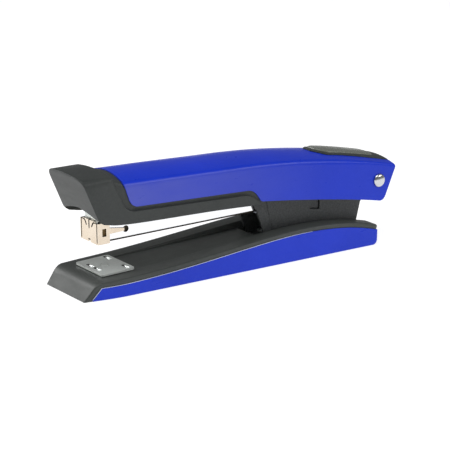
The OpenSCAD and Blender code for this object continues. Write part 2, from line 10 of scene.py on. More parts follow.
import bmesh
import bpy
import numpy as np
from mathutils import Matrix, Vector


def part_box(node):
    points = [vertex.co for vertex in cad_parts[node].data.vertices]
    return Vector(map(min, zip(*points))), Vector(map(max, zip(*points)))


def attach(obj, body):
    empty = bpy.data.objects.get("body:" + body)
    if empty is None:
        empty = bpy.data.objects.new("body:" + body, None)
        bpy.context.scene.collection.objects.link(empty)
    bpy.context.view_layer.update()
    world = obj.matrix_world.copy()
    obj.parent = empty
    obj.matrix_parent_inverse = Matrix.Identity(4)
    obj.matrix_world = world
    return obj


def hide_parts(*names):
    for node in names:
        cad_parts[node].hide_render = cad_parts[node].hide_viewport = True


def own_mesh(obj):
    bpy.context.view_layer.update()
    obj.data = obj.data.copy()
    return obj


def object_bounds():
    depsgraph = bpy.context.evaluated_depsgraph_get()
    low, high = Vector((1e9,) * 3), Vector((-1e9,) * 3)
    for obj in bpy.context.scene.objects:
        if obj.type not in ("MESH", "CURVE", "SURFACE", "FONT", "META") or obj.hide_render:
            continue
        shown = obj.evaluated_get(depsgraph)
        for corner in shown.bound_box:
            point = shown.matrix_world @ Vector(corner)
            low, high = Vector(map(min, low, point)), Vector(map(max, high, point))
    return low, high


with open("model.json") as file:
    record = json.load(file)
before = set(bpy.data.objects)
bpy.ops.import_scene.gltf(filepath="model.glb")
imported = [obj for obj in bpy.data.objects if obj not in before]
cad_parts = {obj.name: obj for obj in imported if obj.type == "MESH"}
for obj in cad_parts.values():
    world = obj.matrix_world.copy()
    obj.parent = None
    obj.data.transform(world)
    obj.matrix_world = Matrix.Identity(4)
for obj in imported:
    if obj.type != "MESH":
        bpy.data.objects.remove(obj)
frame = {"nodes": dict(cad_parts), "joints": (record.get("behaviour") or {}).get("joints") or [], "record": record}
cad_low, cad_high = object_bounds()

MM = 0.001
JOINTS = {joint["name"]: joint for joint in frame["joints"]}


def at(x, y, z):
    """The place in the frame, in metres, of a station in millimetres."""
    return Vector((cad_low.x + x * MM, y * MM, z * MM))


def station(point):
    """The station, in millimetres, of a place in the frame."""
    return [(point[0] - cad_low.x) / MM, point[1] / MM, point[2] / MM]


def node_box(node):
    """Lowest and highest station of a CAD node."""
    low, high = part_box(node)
    return station(low), station(high)


# ---- driving sizes, from the frame -----------------------------------------------------

PIN = station(JOINTS["magazine_hinge"]["pos_m"])
BASE_L, BASE_HALF = node_box("base_shell")[1][:2]
OVERALL_L, COVER_HALF = node_box("cover_shell")[1][:2]
FRONT_HALF = node_box("front_cover")[1][1]
SLIDE = Vector(JOINTS["pusher_slide"]["axis"])
MAGAZINE_TILT = math.atan2(SLIDE.z, SLIDE.x)

# The crease between the cover's sides and its crown
CREASE_Z = 56.9
CREASE_FALL = math.radians(1.6)
BEND_X = 95
BEND_R = 500
BEND_Z = CREASE_Z - BEND_X * math.tan(CREASE_FALL)
BEND_CENTRE = (BEND_X - BEND_R * math.sin(CREASE_FALL), BEND_Z - BEND_R * math.cos(CREASE_FALL))


# ---- curves ----------------------------------------------------------------------------

def bezier(a, b, c, d, n):
    """n + 1 points along a cubic curve."""
    t = np.linspace(0, 1, n + 1)[:, None]
    a, b, c, d = (np.array(p, float) for p in (a, b, c, d))
    return a * (1 - t) ** 3 + 3 * b * t * (1 - t) ** 2 + 3 * c * t * t * (1 - t) + d * t ** 3


def soften(points, cuts, n=5, closed=False):
    """An outline whose corner i is rounded over the length cuts[i] of both its sides."""
    points = [np.array(p, float) for p in points]
    out = []
    count = len(points)
    for i, p in enumerate(points):
        if cuts[i] == 0 or (not closed and i in (0, count - 1)):
            out.append(p)
            continue
        before, after = points[i - 1] - p, points[(i + 1) % count] - p
        a = p + before / np.linalg.norm(before) * cuts[i]
        b = p + after / np.linalg.norm(after) * cuts[i]
        for t in np.linspace(0, 1, n + 1):
            out.append(a * (1 - t) ** 2 + p * 2 * t * (1 - t) + b * t * t)
    return np.array(out)


def respaced(points, n):
    """n + 1 points evenly along a line of points."""
    points = np.asarray(points, float)
    steps = np.linalg.norm(np.diff(points, axis=0), axis=1)
    along = np.concatenate([[0], np.cumsum(steps)])
    wanted = np.linspace(0, along[-1], n + 1)
    return np.stack([np.interp(wanted, along, points[:, k]) for k in range(points.shape[1])], 1)


def smooth_step(x, start, end):
    """0 up to the start and 1 from the end, with an easy change between."""
    t = np.clip((x - start) / (end - start), 0, 1)
    return t * t * (3 - 2 * t)


def rounded(corner, first, second, radius=1.0):
    """Five points around a corner, from a radius along the first direction to one along the second."""
    return [corner + first * radius * (1 - math.sin(turn)) + second * radius * (1 - math.cos(turn))
            for turn in np.linspace(0, math.pi / 2, 5)]


def mirrored(side):
    """A whole line of points from the half with Y above 0."""
    side = [np.array(p, float) for p in side]
    return side + [p * [1, -1, 1] for p in reversed(side)]


def crease(x):
    """Height of the blue cover's crease."""
    x = np.asarray(x, float)
    bent = BEND_CENTRE[1] + np.sqrt(BEND_R ** 2 - (x - BEND_CENTRE[0]) ** 2)
    return np.where(x < BEND_X, CREASE_Z - x * math.tan(CREASE_FALL), bent)


def crown_rise(x):
    """Height of the blue cover's crown above its creases."""
    return 3.9 - 1.5 * smooth_step(x, 60, 160) - 0.5 * np.exp(-((x - 88) / 28) ** 2)


def crown_z(x, y):
    """Height of the blue cover's crown."""
    rise = crown_rise(x)
    radius = (COVER_HALF * COVER_HALF + rise * rise) / (2 * rise)
    return crease(x) + rise - radius + np.sqrt(np.maximum(radius ** 2 - np.asarray(y) ** 2, 0))


# ---- meshes ----------------------------------------------------------------------------

INWARD = np.array([0, -1.0, 0])


def new_object(name, mesh, smooth=True):
    obj = bpy.data.objects.new(name, mesh)
    bpy.context.scene.collection.objects.link(obj)
    if smooth:
        mesh.shade_smooth()
    return obj


def mesh_from(name, points, faces):
    """A mesh from stations in millimetres."""
    mesh = bpy.data.meshes.new(name)
    mesh.from_pydata([at(*p) for p in points], [], faces)
    mesh.update()
    return mesh


def loft(rows, wrap_rows=False, wrap_points=False, caps=False):
    """Points and faces of a sheet through rows of equally many points."""
    rows = [np.asarray(row, float) for row in rows]
    count, width = len(rows), len(rows[0])
    points = np.concatenate(rows)
    faces = []
    for i in range(count if wrap_rows else count - 1):
        for j in range(width if wrap_points else width - 1):
            a, b = i * width + j, i * width + (j + 1) % width
            c, d = ((i + 1) % count) * width + (j + 1) % width, ((i + 1) % count) * width + j
            faces.append((a, b, c, d))
    if caps:
        faces.append(tuple(reversed(range(width))))
        faces.append(tuple((count - 1) * width + j for j in range(width)))
    return points, faces


def joined(*parts):
    """Several (points, faces) as one."""
    points, faces, start = [], [], 0
    for part_points, part_faces in parts:
        points.extend(part_points)
        faces.extend(tuple(i + start for i in face) for face in part_faces)
        start += len(part_points)
    return points, faces


@contextlib.contextmanager
def editing(mesh):
    """The mesh as a bmesh, written back at the end."""
    work = bmesh.new()
    work.from_mesh(mesh)
    yield work
    work.to_mesh(mesh)
    work.free()


def cleaned(mesh, distance=0.00001, dissolve=None):
    """Merges doubled points, drops empty faces and turns the faces outward."""
    with editing(mesh) as work:
        bmesh.ops.remove_doubles(work, verts=work.verts, dist=distance)
        bmesh.ops.dissolve_degenerate(work, edges=work.edges, dist=distance)
        if dissolve:
            bmesh.ops.dissolve_limit(work, angle_limit=dissolve, verts=work.verts, edges=work.edges)
        bmesh.ops.recalc_face_normals(work, faces=work.faces)
    return mesh


def shape(name, points, faces, smooth=True):
    """An object from the points and faces of a sheet or a closed shape."""
    return new_object(name, cleaned(mesh_from(name, points, faces)), smooth)


def face_up(obj, above=True):
    """Turns an open sheet so that its largest area faces up, or down."""
    total = sum(p.area * p.normal.z for p in obj.data.polygons)
    if (total > 0) != above:
        with editing(obj.data) as work:
            bmesh.ops.reverse_faces(work, faces=work.faces)


def apply_modifiers(obj):
    """Replaces the object's mesh with what its modifiers make of it."""
    graph = bpy.context.evaluated_depsgraph_get()
    made = bpy.data.meshes.new_from_object(obj.evaluated_get(graph))
    made.name = obj.name
    obj.modifiers.clear()
    obj.data = made
    return obj


def thicken(obj, wall):
    """Gives a sheet a wall, inward from its faces."""
    solid = obj.modifiers.new("wall", "SOLIDIFY")
    solid.thickness = wall * MM
    solid.offset = -1
    return apply_modifiers(obj)


def keep_above(obj, z):
    """Flattens what a wall pushed below a level."""
    level = at(0, 0, z).z
    for vertex in obj.data.vertices:
        vertex.co.z = max(vertex.co.z, level)


def round_edges(obj, width=0, segments=2, angle=35):
    """Rounds the sharp edges and keeps the flats flat."""
    if width:
        bevel = obj.modifiers.new("edges", "BEVEL")
        bevel.width = width * MM
        bevel.segments = segments
        bevel.limit_method = "ANGLE"
        bevel.angle_limit = math.radians(angle)
        apply_modifiers(obj)
    obj.data.shade_smooth()
    weighted = obj.modifiers.new("normals", "WEIGHTED_NORMAL")
    weighted.keep_sharp = True
    weighted.weight = 70
    return apply_modifiers(obj)


def cut(obj, points, faces):
    """Cuts a closed shape out of the object."""
    tool = shape("cutter", points, faces, smooth=False)
    hole = obj.modifiers.new("hole", "BOOLEAN")
    hole.operation = "DIFFERENCE"
    hole.solver = "EXACT"
    hole.object = tool
    apply_modifiers(obj)
    bpy.data.objects.remove(tool)
    return obj


# Faces of a block: four corners of one side, then the same four of the other
BLOCK_FACES = [(0, 1, 2, 3), (7, 6, 5, 4), (0, 4, 5, 1), (1, 5, 6, 2), (2, 6, 7, 3), (3, 7, 4, 0)]


def circle(radius, side, up, sides):
    """Points around a circle in the plane of two directions."""
    turn = np.linspace(0, 2 * math.pi, sides, endpoint=False)
    return radius * (np.outer(np.cos(turn), side) + np.outer(np.sin(turn), up))


def bar(low_end, high_end, radius, sides=48):
    """A closed cylinder between two stations."""
    a, b = np.array(low_end, float), np.array(high_end, float)
    along = (b - a) / np.linalg.norm(b - a)
    side = np.cross(along, [0, 0, 1] if abs(along[2]) < 0.9 else [1, 0, 0])
    side /= np.linalg.norm(side)
    ring = circle(radius, side, np.cross(along, side), sides)
    return loft([a + ring, b + ring], wrap_points=True, caps=True)


LEAST_RADIUS = 0.002


def lathe(profile, centre, axis, sides=64):
    """A turned shape: profile holds (radius, height) pairs, starting and ending on the axis."""
    axis = np.array(axis, float) / np.linalg.norm(axis)
    side = np.cross(axis, [1, 0, 0] if abs(axis[0]) < 0.9 else [0, 1, 0])
    side /= np.linalg.norm(side)
    rim = circle(1, side, np.cross(axis, side), sides)
    rows = [np.array(centre) + max(r, LEAST_RADIUS) * rim + h * axis for r, h in profile]
    return loft(rows, wrap_points=True, caps=True)


def tube(path, radius, sides=10, up=(0, 0, 1)):
    """A round wire along a path, with flat ends."""
    path = np.asarray(path, float)
    ahead = np.gradient(path, axis=0)
    ahead /= np.linalg.norm(ahead, axis=1)[:, None]
    side = np.cross(ahead, np.array(up, float))
    side /= np.linalg.norm(side, axis=1)[:, None]
    over = np.cross(side, ahead)
    rows = [p + circle(radius, s, o, sides) for p, s, o in zip(path, side, over)]
    return loft(rows, wrap_points=True, caps=True)


# ---- placing pieces --------------------------------------------------------------------

def place(obj, body, slot, *nodes, material):
    """Puts a finished piece on its body, with its finish, in place of its CAD nodes."""
    obj.data.materials.clear()
    obj.data.materials.append(material)
    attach(obj, body)
    if nodes:
        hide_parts(*nodes)
    return obj


BODY_OF = {node: body for body, nodes in frame["record"]["behaviour"]["bodies"].items() for node in nodes}
SLOT_OF = {part["node"]: part["material_slot"] for part in frame["record"]["subparts"]}


def cad_copy(node):
    """A new object with the CAD node's shape, its flats made whole."""
    mesh = frame["nodes"][node].data.copy()
    mesh.name = node + "_piece"
    cleaned(mesh, dissolve=math.radians(2))
    return new_object(node + "_piece", mesh, smooth=False)


def refined(node, edge, segments=2, cuts=()):
    """A piece with the CAD node's shape, its edges rounded."""
    obj = cad_copy(node)
    for points, faces in cuts:
        cut(obj, points, faces)
    round_edges(obj, edge, segments)
    return place(obj, BODY_OF[node], SLOT_OF[node], node, material=MATERIALS[SLOT_OF[node]])


# ---- materials -------------------------------------------------------------------------

class Shader:
    """A node material under construction."""

    def __init__(self, name):
        self.material = bpy.data.materials.new(name)
        self.material.use_nodes = True
        self.tree = self.material.node_tree
        self.surface = self.tree.nodes["Principled BSDF"]
        self.place = self.add("ShaderNodeTexCoord").outputs["Object"]

    def add(self, kind, **settings):
        made = self.tree.nodes.new(kind)
        for key, value in settings.items():
            setattr(made, key, value)
        return made

    def link(self, output, target):
        self.tree.links.new(output, target)

    def set(self, **values):
        """Sets sockets of the surface, named with underscores for spaces."""
        for key, value in values.items():
            self.surface.inputs[key.replace("_", " ")].default_value = value

    def stretched(self, scale):
        mapping = self.add("ShaderNodeMapping")
        mapping.inputs["Scale"].default_value = scale
        self.link(self.place, mapping.inputs["Vector"])
        return mapping.outputs["Vector"]

    def noise(self, scale, detail=3, roughness=0.55, vector=None, distortion=0):
        made = self.add("ShaderNodeTexNoise")
        made.inputs["Scale"].default_value = scale
        made.inputs["Detail"].default_value = detail
        made.inputs["Roughness"].default_value = roughness
        made.inputs["Distortion"].default_value = distortion
        self.link(vector or self.place, made.inputs["Vector"])
        return made.outputs["Fac"]

    def cells(self, scale, feature="F1"):
        made = self.add("ShaderNodeTexVoronoi", feature=feature)
        made.inputs["Scale"].default_value = scale
        self.link(self.place, made.inputs["Vector"])
        return made.outputs["Distance"]

    def span(self, value, low, high, to_low, to_high):
        """Maps a value from one range to another."""
        made = self.add("ShaderNodeMapRange")
        for name, number in (("From Min", low), ("From Max", high), ("To Min", to_low), ("To Max", to_high)):
            made.inputs[name].default_value = number
        self.link(value, made.inputs["Value"])
        return made.outputs["Result"]

    def math(self, operation, a, b):
        made = self.add("ShaderNodeMath", operation=operation)
        for socket, value in zip(made.inputs, (a, b)):
            if isinstance(value, (int, float)):
                socket.default_value = value
            else:
                self.link(value, socket)
        return made.outputs[0]

    def blend(self, factor, first, second):
        """A colour between two, each a colour or an output."""
        made = self.add("ShaderNodeMix", data_type="RGBA")
        self.link(factor, made.inputs[0])
        for socket, value in ((made.inputs[6], first), (made.inputs[7], second)):
            if isinstance(value, tuple):
                socket.default_value = (*value, 1)
            else:
                self.link(value, socket)
        return made.outputs[2]

    def edges(self, radius=0.0004):
        """1 on convex and concave edges, fading to 0 on flats."""
        slight, full = 0.02, 0.25
        soft = self.add("ShaderNodeBevel", samples=4)
        soft.inputs["Radius"].default_value = radius
        flat = self.add("ShaderNodeNewGeometry").outputs["Normal"]
        match = self.add("ShaderNodeVectorMath", operation="DOT_PRODUCT")
        self.link(soft.outputs["Normal"], match.inputs[0])
        self.link(flat, match.inputs[1])
        return self.span(match.outputs["Value"], 1 - slight, 1 - full, 0, 1)

    def colour(self, value):
        self.link(value, self.surface.inputs["Base Color"])

    def rough(self, value):
        self.link(value, self.surface.inputs["Roughness"])

    def bump(self, height, distance, strength=1.0, under=None):
        made = self.add("ShaderNodeBump")
        made.inputs["Strength"].default_value = strength
        made.inputs["Distance"].default_value = distance
        self.link(height, made.inputs["Height"])
        if under is not None:
            self.link(under, made.inputs["Normal"])
        self.link(made.outputs["Normal"], self.surface.inputs["Normal"])
        return made.outputs["Normal"]


# Stations between which the painted sheen on the blue cover's sides fades away
PAINTED_SHEEN_SPAN = (30, 150)


def moulded(name, dark, light, worn, rough, grain, gloss=0.5, painted_sheen=None):
    """Moulded plastic: slow colour drift, fine spark-eroded grain, rubbed edges, and a painted sheen on the side
    faces if given.
    """
    s = Shader(name)
    drift = s.noise(28, 4)
    speck = s.noise(900, 2)
    tone = s.blend(s.span(drift, 0.3, 0.7, 0, 1), dark, light)
    tone = s.blend(s.span(speck, 0.35, 0.8, 0, 0.12), tone, worn)
    # Painted sheen: a pale, desaturated highlight painted onto the side faces, strongest near the nose, gone by
    # the rear station, broken up by slow noise
    if painted_sheen:
        split = s.add("ShaderNodeSeparateXYZ")
        s.link(s.place, split.inputs[0])
        facing = s.add("ShaderNodeSeparateXYZ")
        s.link(s.add("ShaderNodeNewGeometry").outputs["Normal"], facing.inputs[0])
        along = s.span(split.outputs["X"], at(PAINTED_SHEEN_SPAN[0], 0, 0).x, at(PAINTED_SHEEN_SPAN[1], 0, 0).x, 1, 0)
        flank = s.span(s.math("ABSOLUTE", facing.outputs["Y"], 0), 0.75, 0.98, 0, 1)
        patchy = s.span(s.noise(45, 4, 0.6, s.stretched((1, 1, 3))), 0.25, 0.75, 0.7, 1)
        tone = s.blend(s.math("MULTIPLY", s.math("MULTIPLY", along, flank), patchy), tone, painted_sheen)
    wear = s.math("MULTIPLY", s.edges(), s.span(s.noise(160, 4), 0.35, 0.7, 0.1, 0.6))
    s.colour(s.blend(wear, tone, worn))
    scuff = s.noise(60, 5, 0.7, s.stretched((1, 1, 5)))
    s.rough(s.span(scuff, 0.25, 0.75, rough - 0.05, rough + 0.07))
    fine = s.bump(s.noise(2600, 2, 0.6), 0.00001, grain)
    s.bump(s.cells(1500), 0.000008, grain, under=fine)
    s.set(Specular_IOR_Level=gloss)
    return s.material


def crinkle(name, dark, light):
    """Wrinkle-finish powder coat: rounded ridges half a millimetre apart."""
    s = Shader(name)
    warp = s.noise(500, 2)
    ridges = s.cells(1300, "SMOOTH_F1")
    folds = s.noise(1100, 3, 0.5, distortion=1.6)
    height = s.math("ADD", s.math("MULTIPLY", ridges, 1.2), folds)
    tone = s.blend(s.span(height, 0.6, 1.4, 0, 1), dark, light)
    rub = s.math("MULTIPLY", s.edges(0.0005), s.span(warp, 0.4, 0.7, 0.1, 0.7))
    s.colour(s.blend(rub, tone, (0.2, 0.2, 0.2)))
    s.rough(s.span(folds, 0.3, 0.7, 0.42, 0.6))
    s.bump(height, 0.00009, 0.9)
    s.set(Specular_IOR_Level=0.5)
    return s.material


def metal(name, tint, shade, rough, streak, along=(6, 60, 60), scratch=0.4, worn=None, metallic=1.0):
    """Metal with fine lines along the part and a soft variation of its finish."""
    s = Shader(name)
    lines = s.noise(90, 4, 0.6, s.stretched(along))
    cloud = s.noise(70, 4)
    tone = s.blend(s.span(cloud, 0.3, 0.7, 0, 1), tint, shade)
    tone = s.blend(s.span(lines, 0.35, 0.7, 0, streak), tone, shade)
    if worn:
        tone = s.blend(s.math("MULTIPLY", s.edges(0.0003), s.span(cloud, 0.3, 0.6, 0.3, 0.9)), tone, worn)
    s.colour(tone)
    s.rough(s.span(s.math("ADD", lines, cloud), 0.7, 1.3, rough * 0.7, rough * 1.35))
    s.bump(lines, 0.000006, scratch)
    s.set(Metallic=metallic)
    return s.material


def soft_rubber(name, dark, light, rough, grain=0.5, gloss=0.5):
    """Rubber with a matt skin and dusty high spots."""
    s = Shader(name)
    s.colour(s.blend(s.span(s.noise(55, 5), 0.3, 0.75, 0, 1), dark, light))
    s.rough(s.span(s.noise(300, 3), 0.3, 0.7, rough - 0.06, rough + 0.08))
    s.bump(s.noise(1800, 3), 0.000015, grain)
    s.set(Specular_IOR_Level=gloss)
    return s.material


BLUES = ((0.004, 0.026, 0.44), (0.006, 0.031, 0.50), (0.03, 0.07, 0.60))
BLUE_FINISH = (0.30, 0.35, 0.25)
BLACK_FINISH = (0.42, 0.8, 0.3)
# The blue cover's copy of the blue plastic carries a painted sheen on its sides, light towards the nose
BLUE_COVER = moulded("blue cover", *BLUES, *BLUE_FINISH, painted_sheen=(0.066, 0.085, 0.43))
# The deck's own copy of the black plastic is lighter: it paints light into the deck where the cover above shades
# it
LIT_BLACK_DECK = moulded("black deck", (0.038, 0.043, 0.040), (0.048, 0.053, 0.050), (0.10, 0.105, 0.10),
                     *BLACK_FINISH)
# Painted shade: a near-black material for plates set where only shade falls, in slits, along edges and at groove
# ends
PAINTED_SHADE_DARK = metal("painted shade dark", (0.030, 0.028, 0.030), (0.055, 0.045, 0.030), 0.5, 0.4)
# Painted shade in brass brown, for the shaded brass seen through the sheath's windows
WINDOW_PAINTED_SHADE = metal("window painted shade", (0.19, 0.13, 0.06), (0.13, 0.09, 0.045), 0.5, 0.4)
# Painted highlight: pale blue-grey for the bead that stands for the bright line along the blue shell's top edge
PAINTED_HIGHLIGHT_BEAD = moulded("painted highlight bead", (0.42, 0.46, 0.58), (0.52, 0.56, 0.66), (0.7, 0.72, 0.78), 0.3, 0.2)
PIN_STEEL = metal("pin steel", (0.66, 0.67, 0.68), (0.50, 0.51, 0.53), 0.24, 0.3, scratch=0.2)
MATERIALS = {
    "blue_shell": moulded("blue shell", *BLUES, *BLUE_FINISH),
    "black_plastic": moulded("black plastic", (0.027, 0.031, 0.030), (0.036, 0.040, 0.039),
                             (0.09, 0.095, 0.09), *BLACK_FINISH),
    "crinkle_black": crinkle("crinkle black", (0.022, 0.025, 0.026), (0.048, 0.052, 0.053)),
    "rubber": soft_rubber("foot rubber", (0.012, 0.012, 0.013), (0.03, 0.03, 0.03), 0.72),
    "soft_pad": soft_rubber("soft pad", (0.112, 0.122, 0.104), (0.122, 0.132, 0.112), 0.26, 0.01, 0.6),
    "bright_steel": metal("bright steel", (0.95, 0.95, 0.96), (0.86, 0.87, 0.89), 0.13, 0.3, scratch=0.1),
    "brushed_steel": metal("brushed steel", (0.93, 0.96, 0.93), (0.80, 0.84, 0.81), 0.46, 0.6,
                           worn=(0.9, 0.91, 0.91), metallic=0.86),
    "spring_steel": metal("spring steel", (0.42, 0.45, 0.49), (0.26, 0.28, 0.32), 0.30, 0.5),
    "brass": metal("pale brass", (0.80, 0.71, 0.60), (0.72, 0.61, 0.48), 0.24, 0.4, (8, 60, 60), 0.3,
                   (0.98, 0.93, 0.84)),
    "nylon": soft_rubber("nylon", (0.60, 0.58, 0.50), (0.70, 0.68, 0.60), 0.42),
    "staples": metal("staple wire", (0.78, 0.79, 0.80), (0.62, 0.63, 0.65), 0.22, 0.3),
}


# ---- camera, light and floor -----------------------------------------------------------

WORLD_LIGHT = 0.17
FLOOR_TONE, FLOOR_GLOW = 0.42, 0.72
WALL_TONE, WALL_GLOW = 0.5, 0.38
STUDIO_REACH, STUDIO_HEIGHT, STUDIO_SIDES = 3.0, 2.6, 24
# Name, place, aim, size and power of each soft light
LIGHTS = (
    ("top", (-0.25, -0.15, 0.9), (0, 0, 0.03), (0.7, 0.5), 4.5),
    ("behind_left", (-0.42, 0.75, 0.48), (-0.08, 0, 0.02), (0.4, 0.3), 3.5),
    ("right", (0.48, -0.52, 0.50), (0, 0, 0.03), (0.5, 0.22), 1.6),
)


def make_camera():
    """The camera, at the photograph's viewing angle."""
    azimuth, elevation = math.radians(-34.61), math.radians(16.28)
    distance = 1.1
    focal_pixels, image_pixels = 2114.6, 450
    back = Vector((
        math.sin(azimuth) * math.cos(elevation),
        -math.cos(azimuth) * math.cos(elevation),
        math.sin(elevation),
    ))
    lens = bpy.data.cameras.new("camera")
    lens.sensor_width = 36
    lens.lens = focal_pixels / image_pixels * lens.sensor_width
    camera = bpy.data.objects.new("camera", lens)
    bpy.context.scene.collection.objects.link(camera)
    camera.location = Vector((-0.0017, 0, 0.0195)) + back * distance
    camera.rotation_euler = back.to_track_quat("Z", "Y").to_euler()
    bpy.context.scene.camera = camera


def softbox(name, place, aim, size, power):
    """A rectangular soft light at a place in metres, turned to face a point."""
    light = bpy.data.lights.new(name, "AREA")
    light.shape = "RECTANGLE"
    light.size, light.size_y = size
    light.energy = power
    obj = bpy.data.objects.new(name, light)
    bpy.context.scene.collection.objects.link(obj)
    obj.location = place
    obj.rotation_euler = (Vector(place) - Vector(aim)).to_track_quat("Z", "Y").to_euler()
    obj.visible_camera = False


def stage_piece(name, points, faces, tone, glow):
    """A pale matt piece of the studio, with a slow variation in its tone."""
    mesh = bpy.data.meshes.new(name)
    mesh.from_pydata(points, [], faces)
    obj = new_object(name, mesh, smooth=False)
    s = Shader(name)
    s.colour(s.blend(s.span(s.noise(3, 2), 0.3, 0.7, 0, 1), (tone, tone, tone), (tone + 0.03,) * 3))
    s.set(Roughness=0.9, Specular_IOR_Level=0.1, Emission_Color=(1, 1, 1, 1), Emission_Strength=glow)
    mesh.materials.append(s.material)
    return obj


def make_studio():
    """A pale floor, a pale wall all round it, and soft lights above and beside the stapler."""
    scene = bpy.context.scene
    scene.view_settings.view_transform = "Standard"
    world = bpy.data.worlds.new("studio")
    scene.world = world
    world.use_nodes = True
    background = world.node_tree.nodes["Background"].inputs
    background["Color"].default_value = (1, 1, 1, 1)
    background["Strength"].default_value = WORLD_LIGHT
    for light in LIGHTS:
        softbox(*light)
    reach, sides = STUDIO_REACH, STUDIO_SIDES
    corners = [(-reach, -reach, 0), (reach, -reach, 0), (reach, reach, 0), (-reach, reach, 0)]
    stage_piece("floor", corners, [(0, 1, 2, 3)], FLOOR_TONE, FLOOR_GLOW)
    turns = [2 * math.pi * i / sides for i in range(sides)]
    points = [(reach * math.cos(turn), reach * math.sin(turn), z)
              for z in (0, STUDIO_HEIGHT) for turn in turns]
    faces = [(i, (i + 1) % sides, sides + (i + 1) % sides, sides + i) for i in range(sides)]
    backdrop = stage_piece("backdrop", points, faces, WALL_TONE, WALL_GLOW)
    backdrop.visible_glossy = False


# ---- base ------------------------------------------------------------------------------

DECK_FRONT = (9, 9.0)
DECK_TILT = math.atan2(1.1, 31.0)
ANVIL_X = 23.6
UNDER_Z = 0.1
# Side view: the rim's edge and the blue side's edge, each as a front end, two pulls and a rear height
RIM_PULL = ((94.3, 10.6), (130.9, 24.4))
RIM_TAIL_Z = 10.9
BLUE_BROW = (9.2, 6.3)
BLUE_FOOT_X = 4.2
BLUE_PULL = ((87.4, 6.6), (130.3, 23.0))
BLUE_TAIL_Z = 8.1
EDGE_STEPS = 84
RIM_TUCK = 0.55
DECK_WALL = 1.7
SHELL_WALL = 1.2
# The channel: its start, half widths with the share of its depth reached there, and its floor
CHANNEL_START = 33.8
CHANNEL_SIDE = ((17.5, 0), (12.5, 0), (12.15, 0.06), (12.0, 0.2), (11.8, 0.8), (11.65, 0.94), (11.3, 1),
                (10.35, 1))
CHANNEL_FLOOR = ((CHANNEL_START, 111.5, 150, 179, 183), (9.35, 13.0, 13.0, 8.9, 8.9))
# The yoke's pocket: front, rear, half width and floor
POCKET = (111.5, 176.0, 10.2, 9.0)
BEAD_R = 0.2
BEAD_END = 138


def deck_z(x):
    """Height of the flat deck that carries the anvil."""
    return DECK_FRONT[1] + (x - DECK_FRONT[0]) * math.tan(DECK_TILT)


def base_half(x):
    """Half the base's width: it narrows towards the nose."""
    return BASE_HALF - 3.4 + np.interp(x, [0, 9, 22], [0, 2.4, 3.4]) - 0.35 * np.exp(-((x - 9) / 5.0) ** 2)


def tail_inset(x, reach=1.5):
    """How far the sides draw in at the rounded rear corners."""
    near = np.clip((x - (BASE_L - reach)) / reach, 0, 1)
    return reach * (1 - np.sqrt(np.maximum(1 - near ** 2, 0)))


def base_lines():
    """Pairs of points, in side view, on the black cover's upper and lower edge."""
    brow = soften([(0, UNDER_Z), (5.8, 7.4), DECK_FRONT, (24, deck_z(24))], [0, 1.6, 1.4, 0], 4)
    upper = respaced(brow[:-1], 16)
    lower = np.stack([np.linspace(BLUE_FOOT_X, BLUE_BROW[0], len(upper)),
                      np.linspace(UNDER_Z, BLUE_BROW[1], len(upper))], 1)
    rim = bezier(DECK_FRONT, *RIM_PULL, (BASE_L, RIM_TAIL_Z), EDGE_STEPS)
    blue = bezier(BLUE_BROW, *BLUE_PULL, (BASE_L, BLUE_TAIL_Z), EDGE_STEPS)
    keep = rim[:, 0] > upper[-1, 0] + 0.6
    upper = np.concatenate([upper, rim[keep]])
    lower = np.concatenate([lower, blue[keep]])
    drop = np.array([[BASE_L, RIM_TAIL_Z - 0.5], [BASE_L, BLUE_TAIL_Z + 0.3]])
    upper[-1, 0] -= 0.6
    return np.concatenate([upper, drop]), np.concatenate([lower, [[BASE_L, BLUE_TAIL_Z]] * 2])


def make_base_cover():
    """The black deck: sloping brow, rim, anvil seat and the long sunken channel."""
    upper, lower = base_lines()
    for x in (33.2, 34.0, POCKET[0] - 0.15, POCKET[0], POCKET[1], POCKET[1] + 0.15):
        i = int(np.searchsorted(upper[:-2, 0], x))
        t = (x - upper[i - 1, 0]) / (upper[i, 0] - upper[i - 1, 0])
        upper = np.insert(upper, i, upper[i - 1] * (1 - t) + upper[i] * t, 0)
        lower = np.insert(lower, i, lower[i - 1] * (1 - t) + lower[i] * t, 0)
    rows = []
    for (x, z), (lower_x, lower_z) in zip(upper, lower):
        half = float(base_half(x) - tail_inset(x))
        lower_half = float(base_half(lower_x) - tail_inset(lower_x)) - RIM_TUCK
        down = np.array([lower_x - x, lower_half - half, lower_z - z])
        down /= max(np.linalg.norm(down), 1e-6)
        edge = float(np.interp(x, [8, 22], [0.8, 1.5]))
        side = [[lower_x, lower_half, lower_z]]
        side += rounded(np.array([x, half, z]), down, INWARD, edge)
        sunk = max(z - float(np.interp(x, *CHANNEL_FLOOR)), 0) if x >= CHANNEL_START else 0.0
        if x >= BASE_L - 0.01:
            sunk = min(sunk, max(z - lower_z, 0))
        side += [[x, y, z - sunk * share] for y, share in CHANNEL_SIDE]
        floor_z = POCKET[3] if POCKET[0] <= x <= POCKET[1] else z - sunk
        rows.append(mirrored(side + [[x, POCKET[2], floor_z], [x, 5, floor_z]]))
    obj = shape("base_cover_piece", *loft(rows))
    face_up(obj)
    thicken(obj, DECK_WALL)
    keep_above(obj, UNDER_Z)
    cut(obj, *bar((ANVIL_X, 0, 0), (ANVIL_X, 0, 20), 2.2))
    round_edges(obj, 0.25, 2, 40)
    place(obj, "base", "black_plastic", "base_cover", material=LIT_BLACK_DECK)


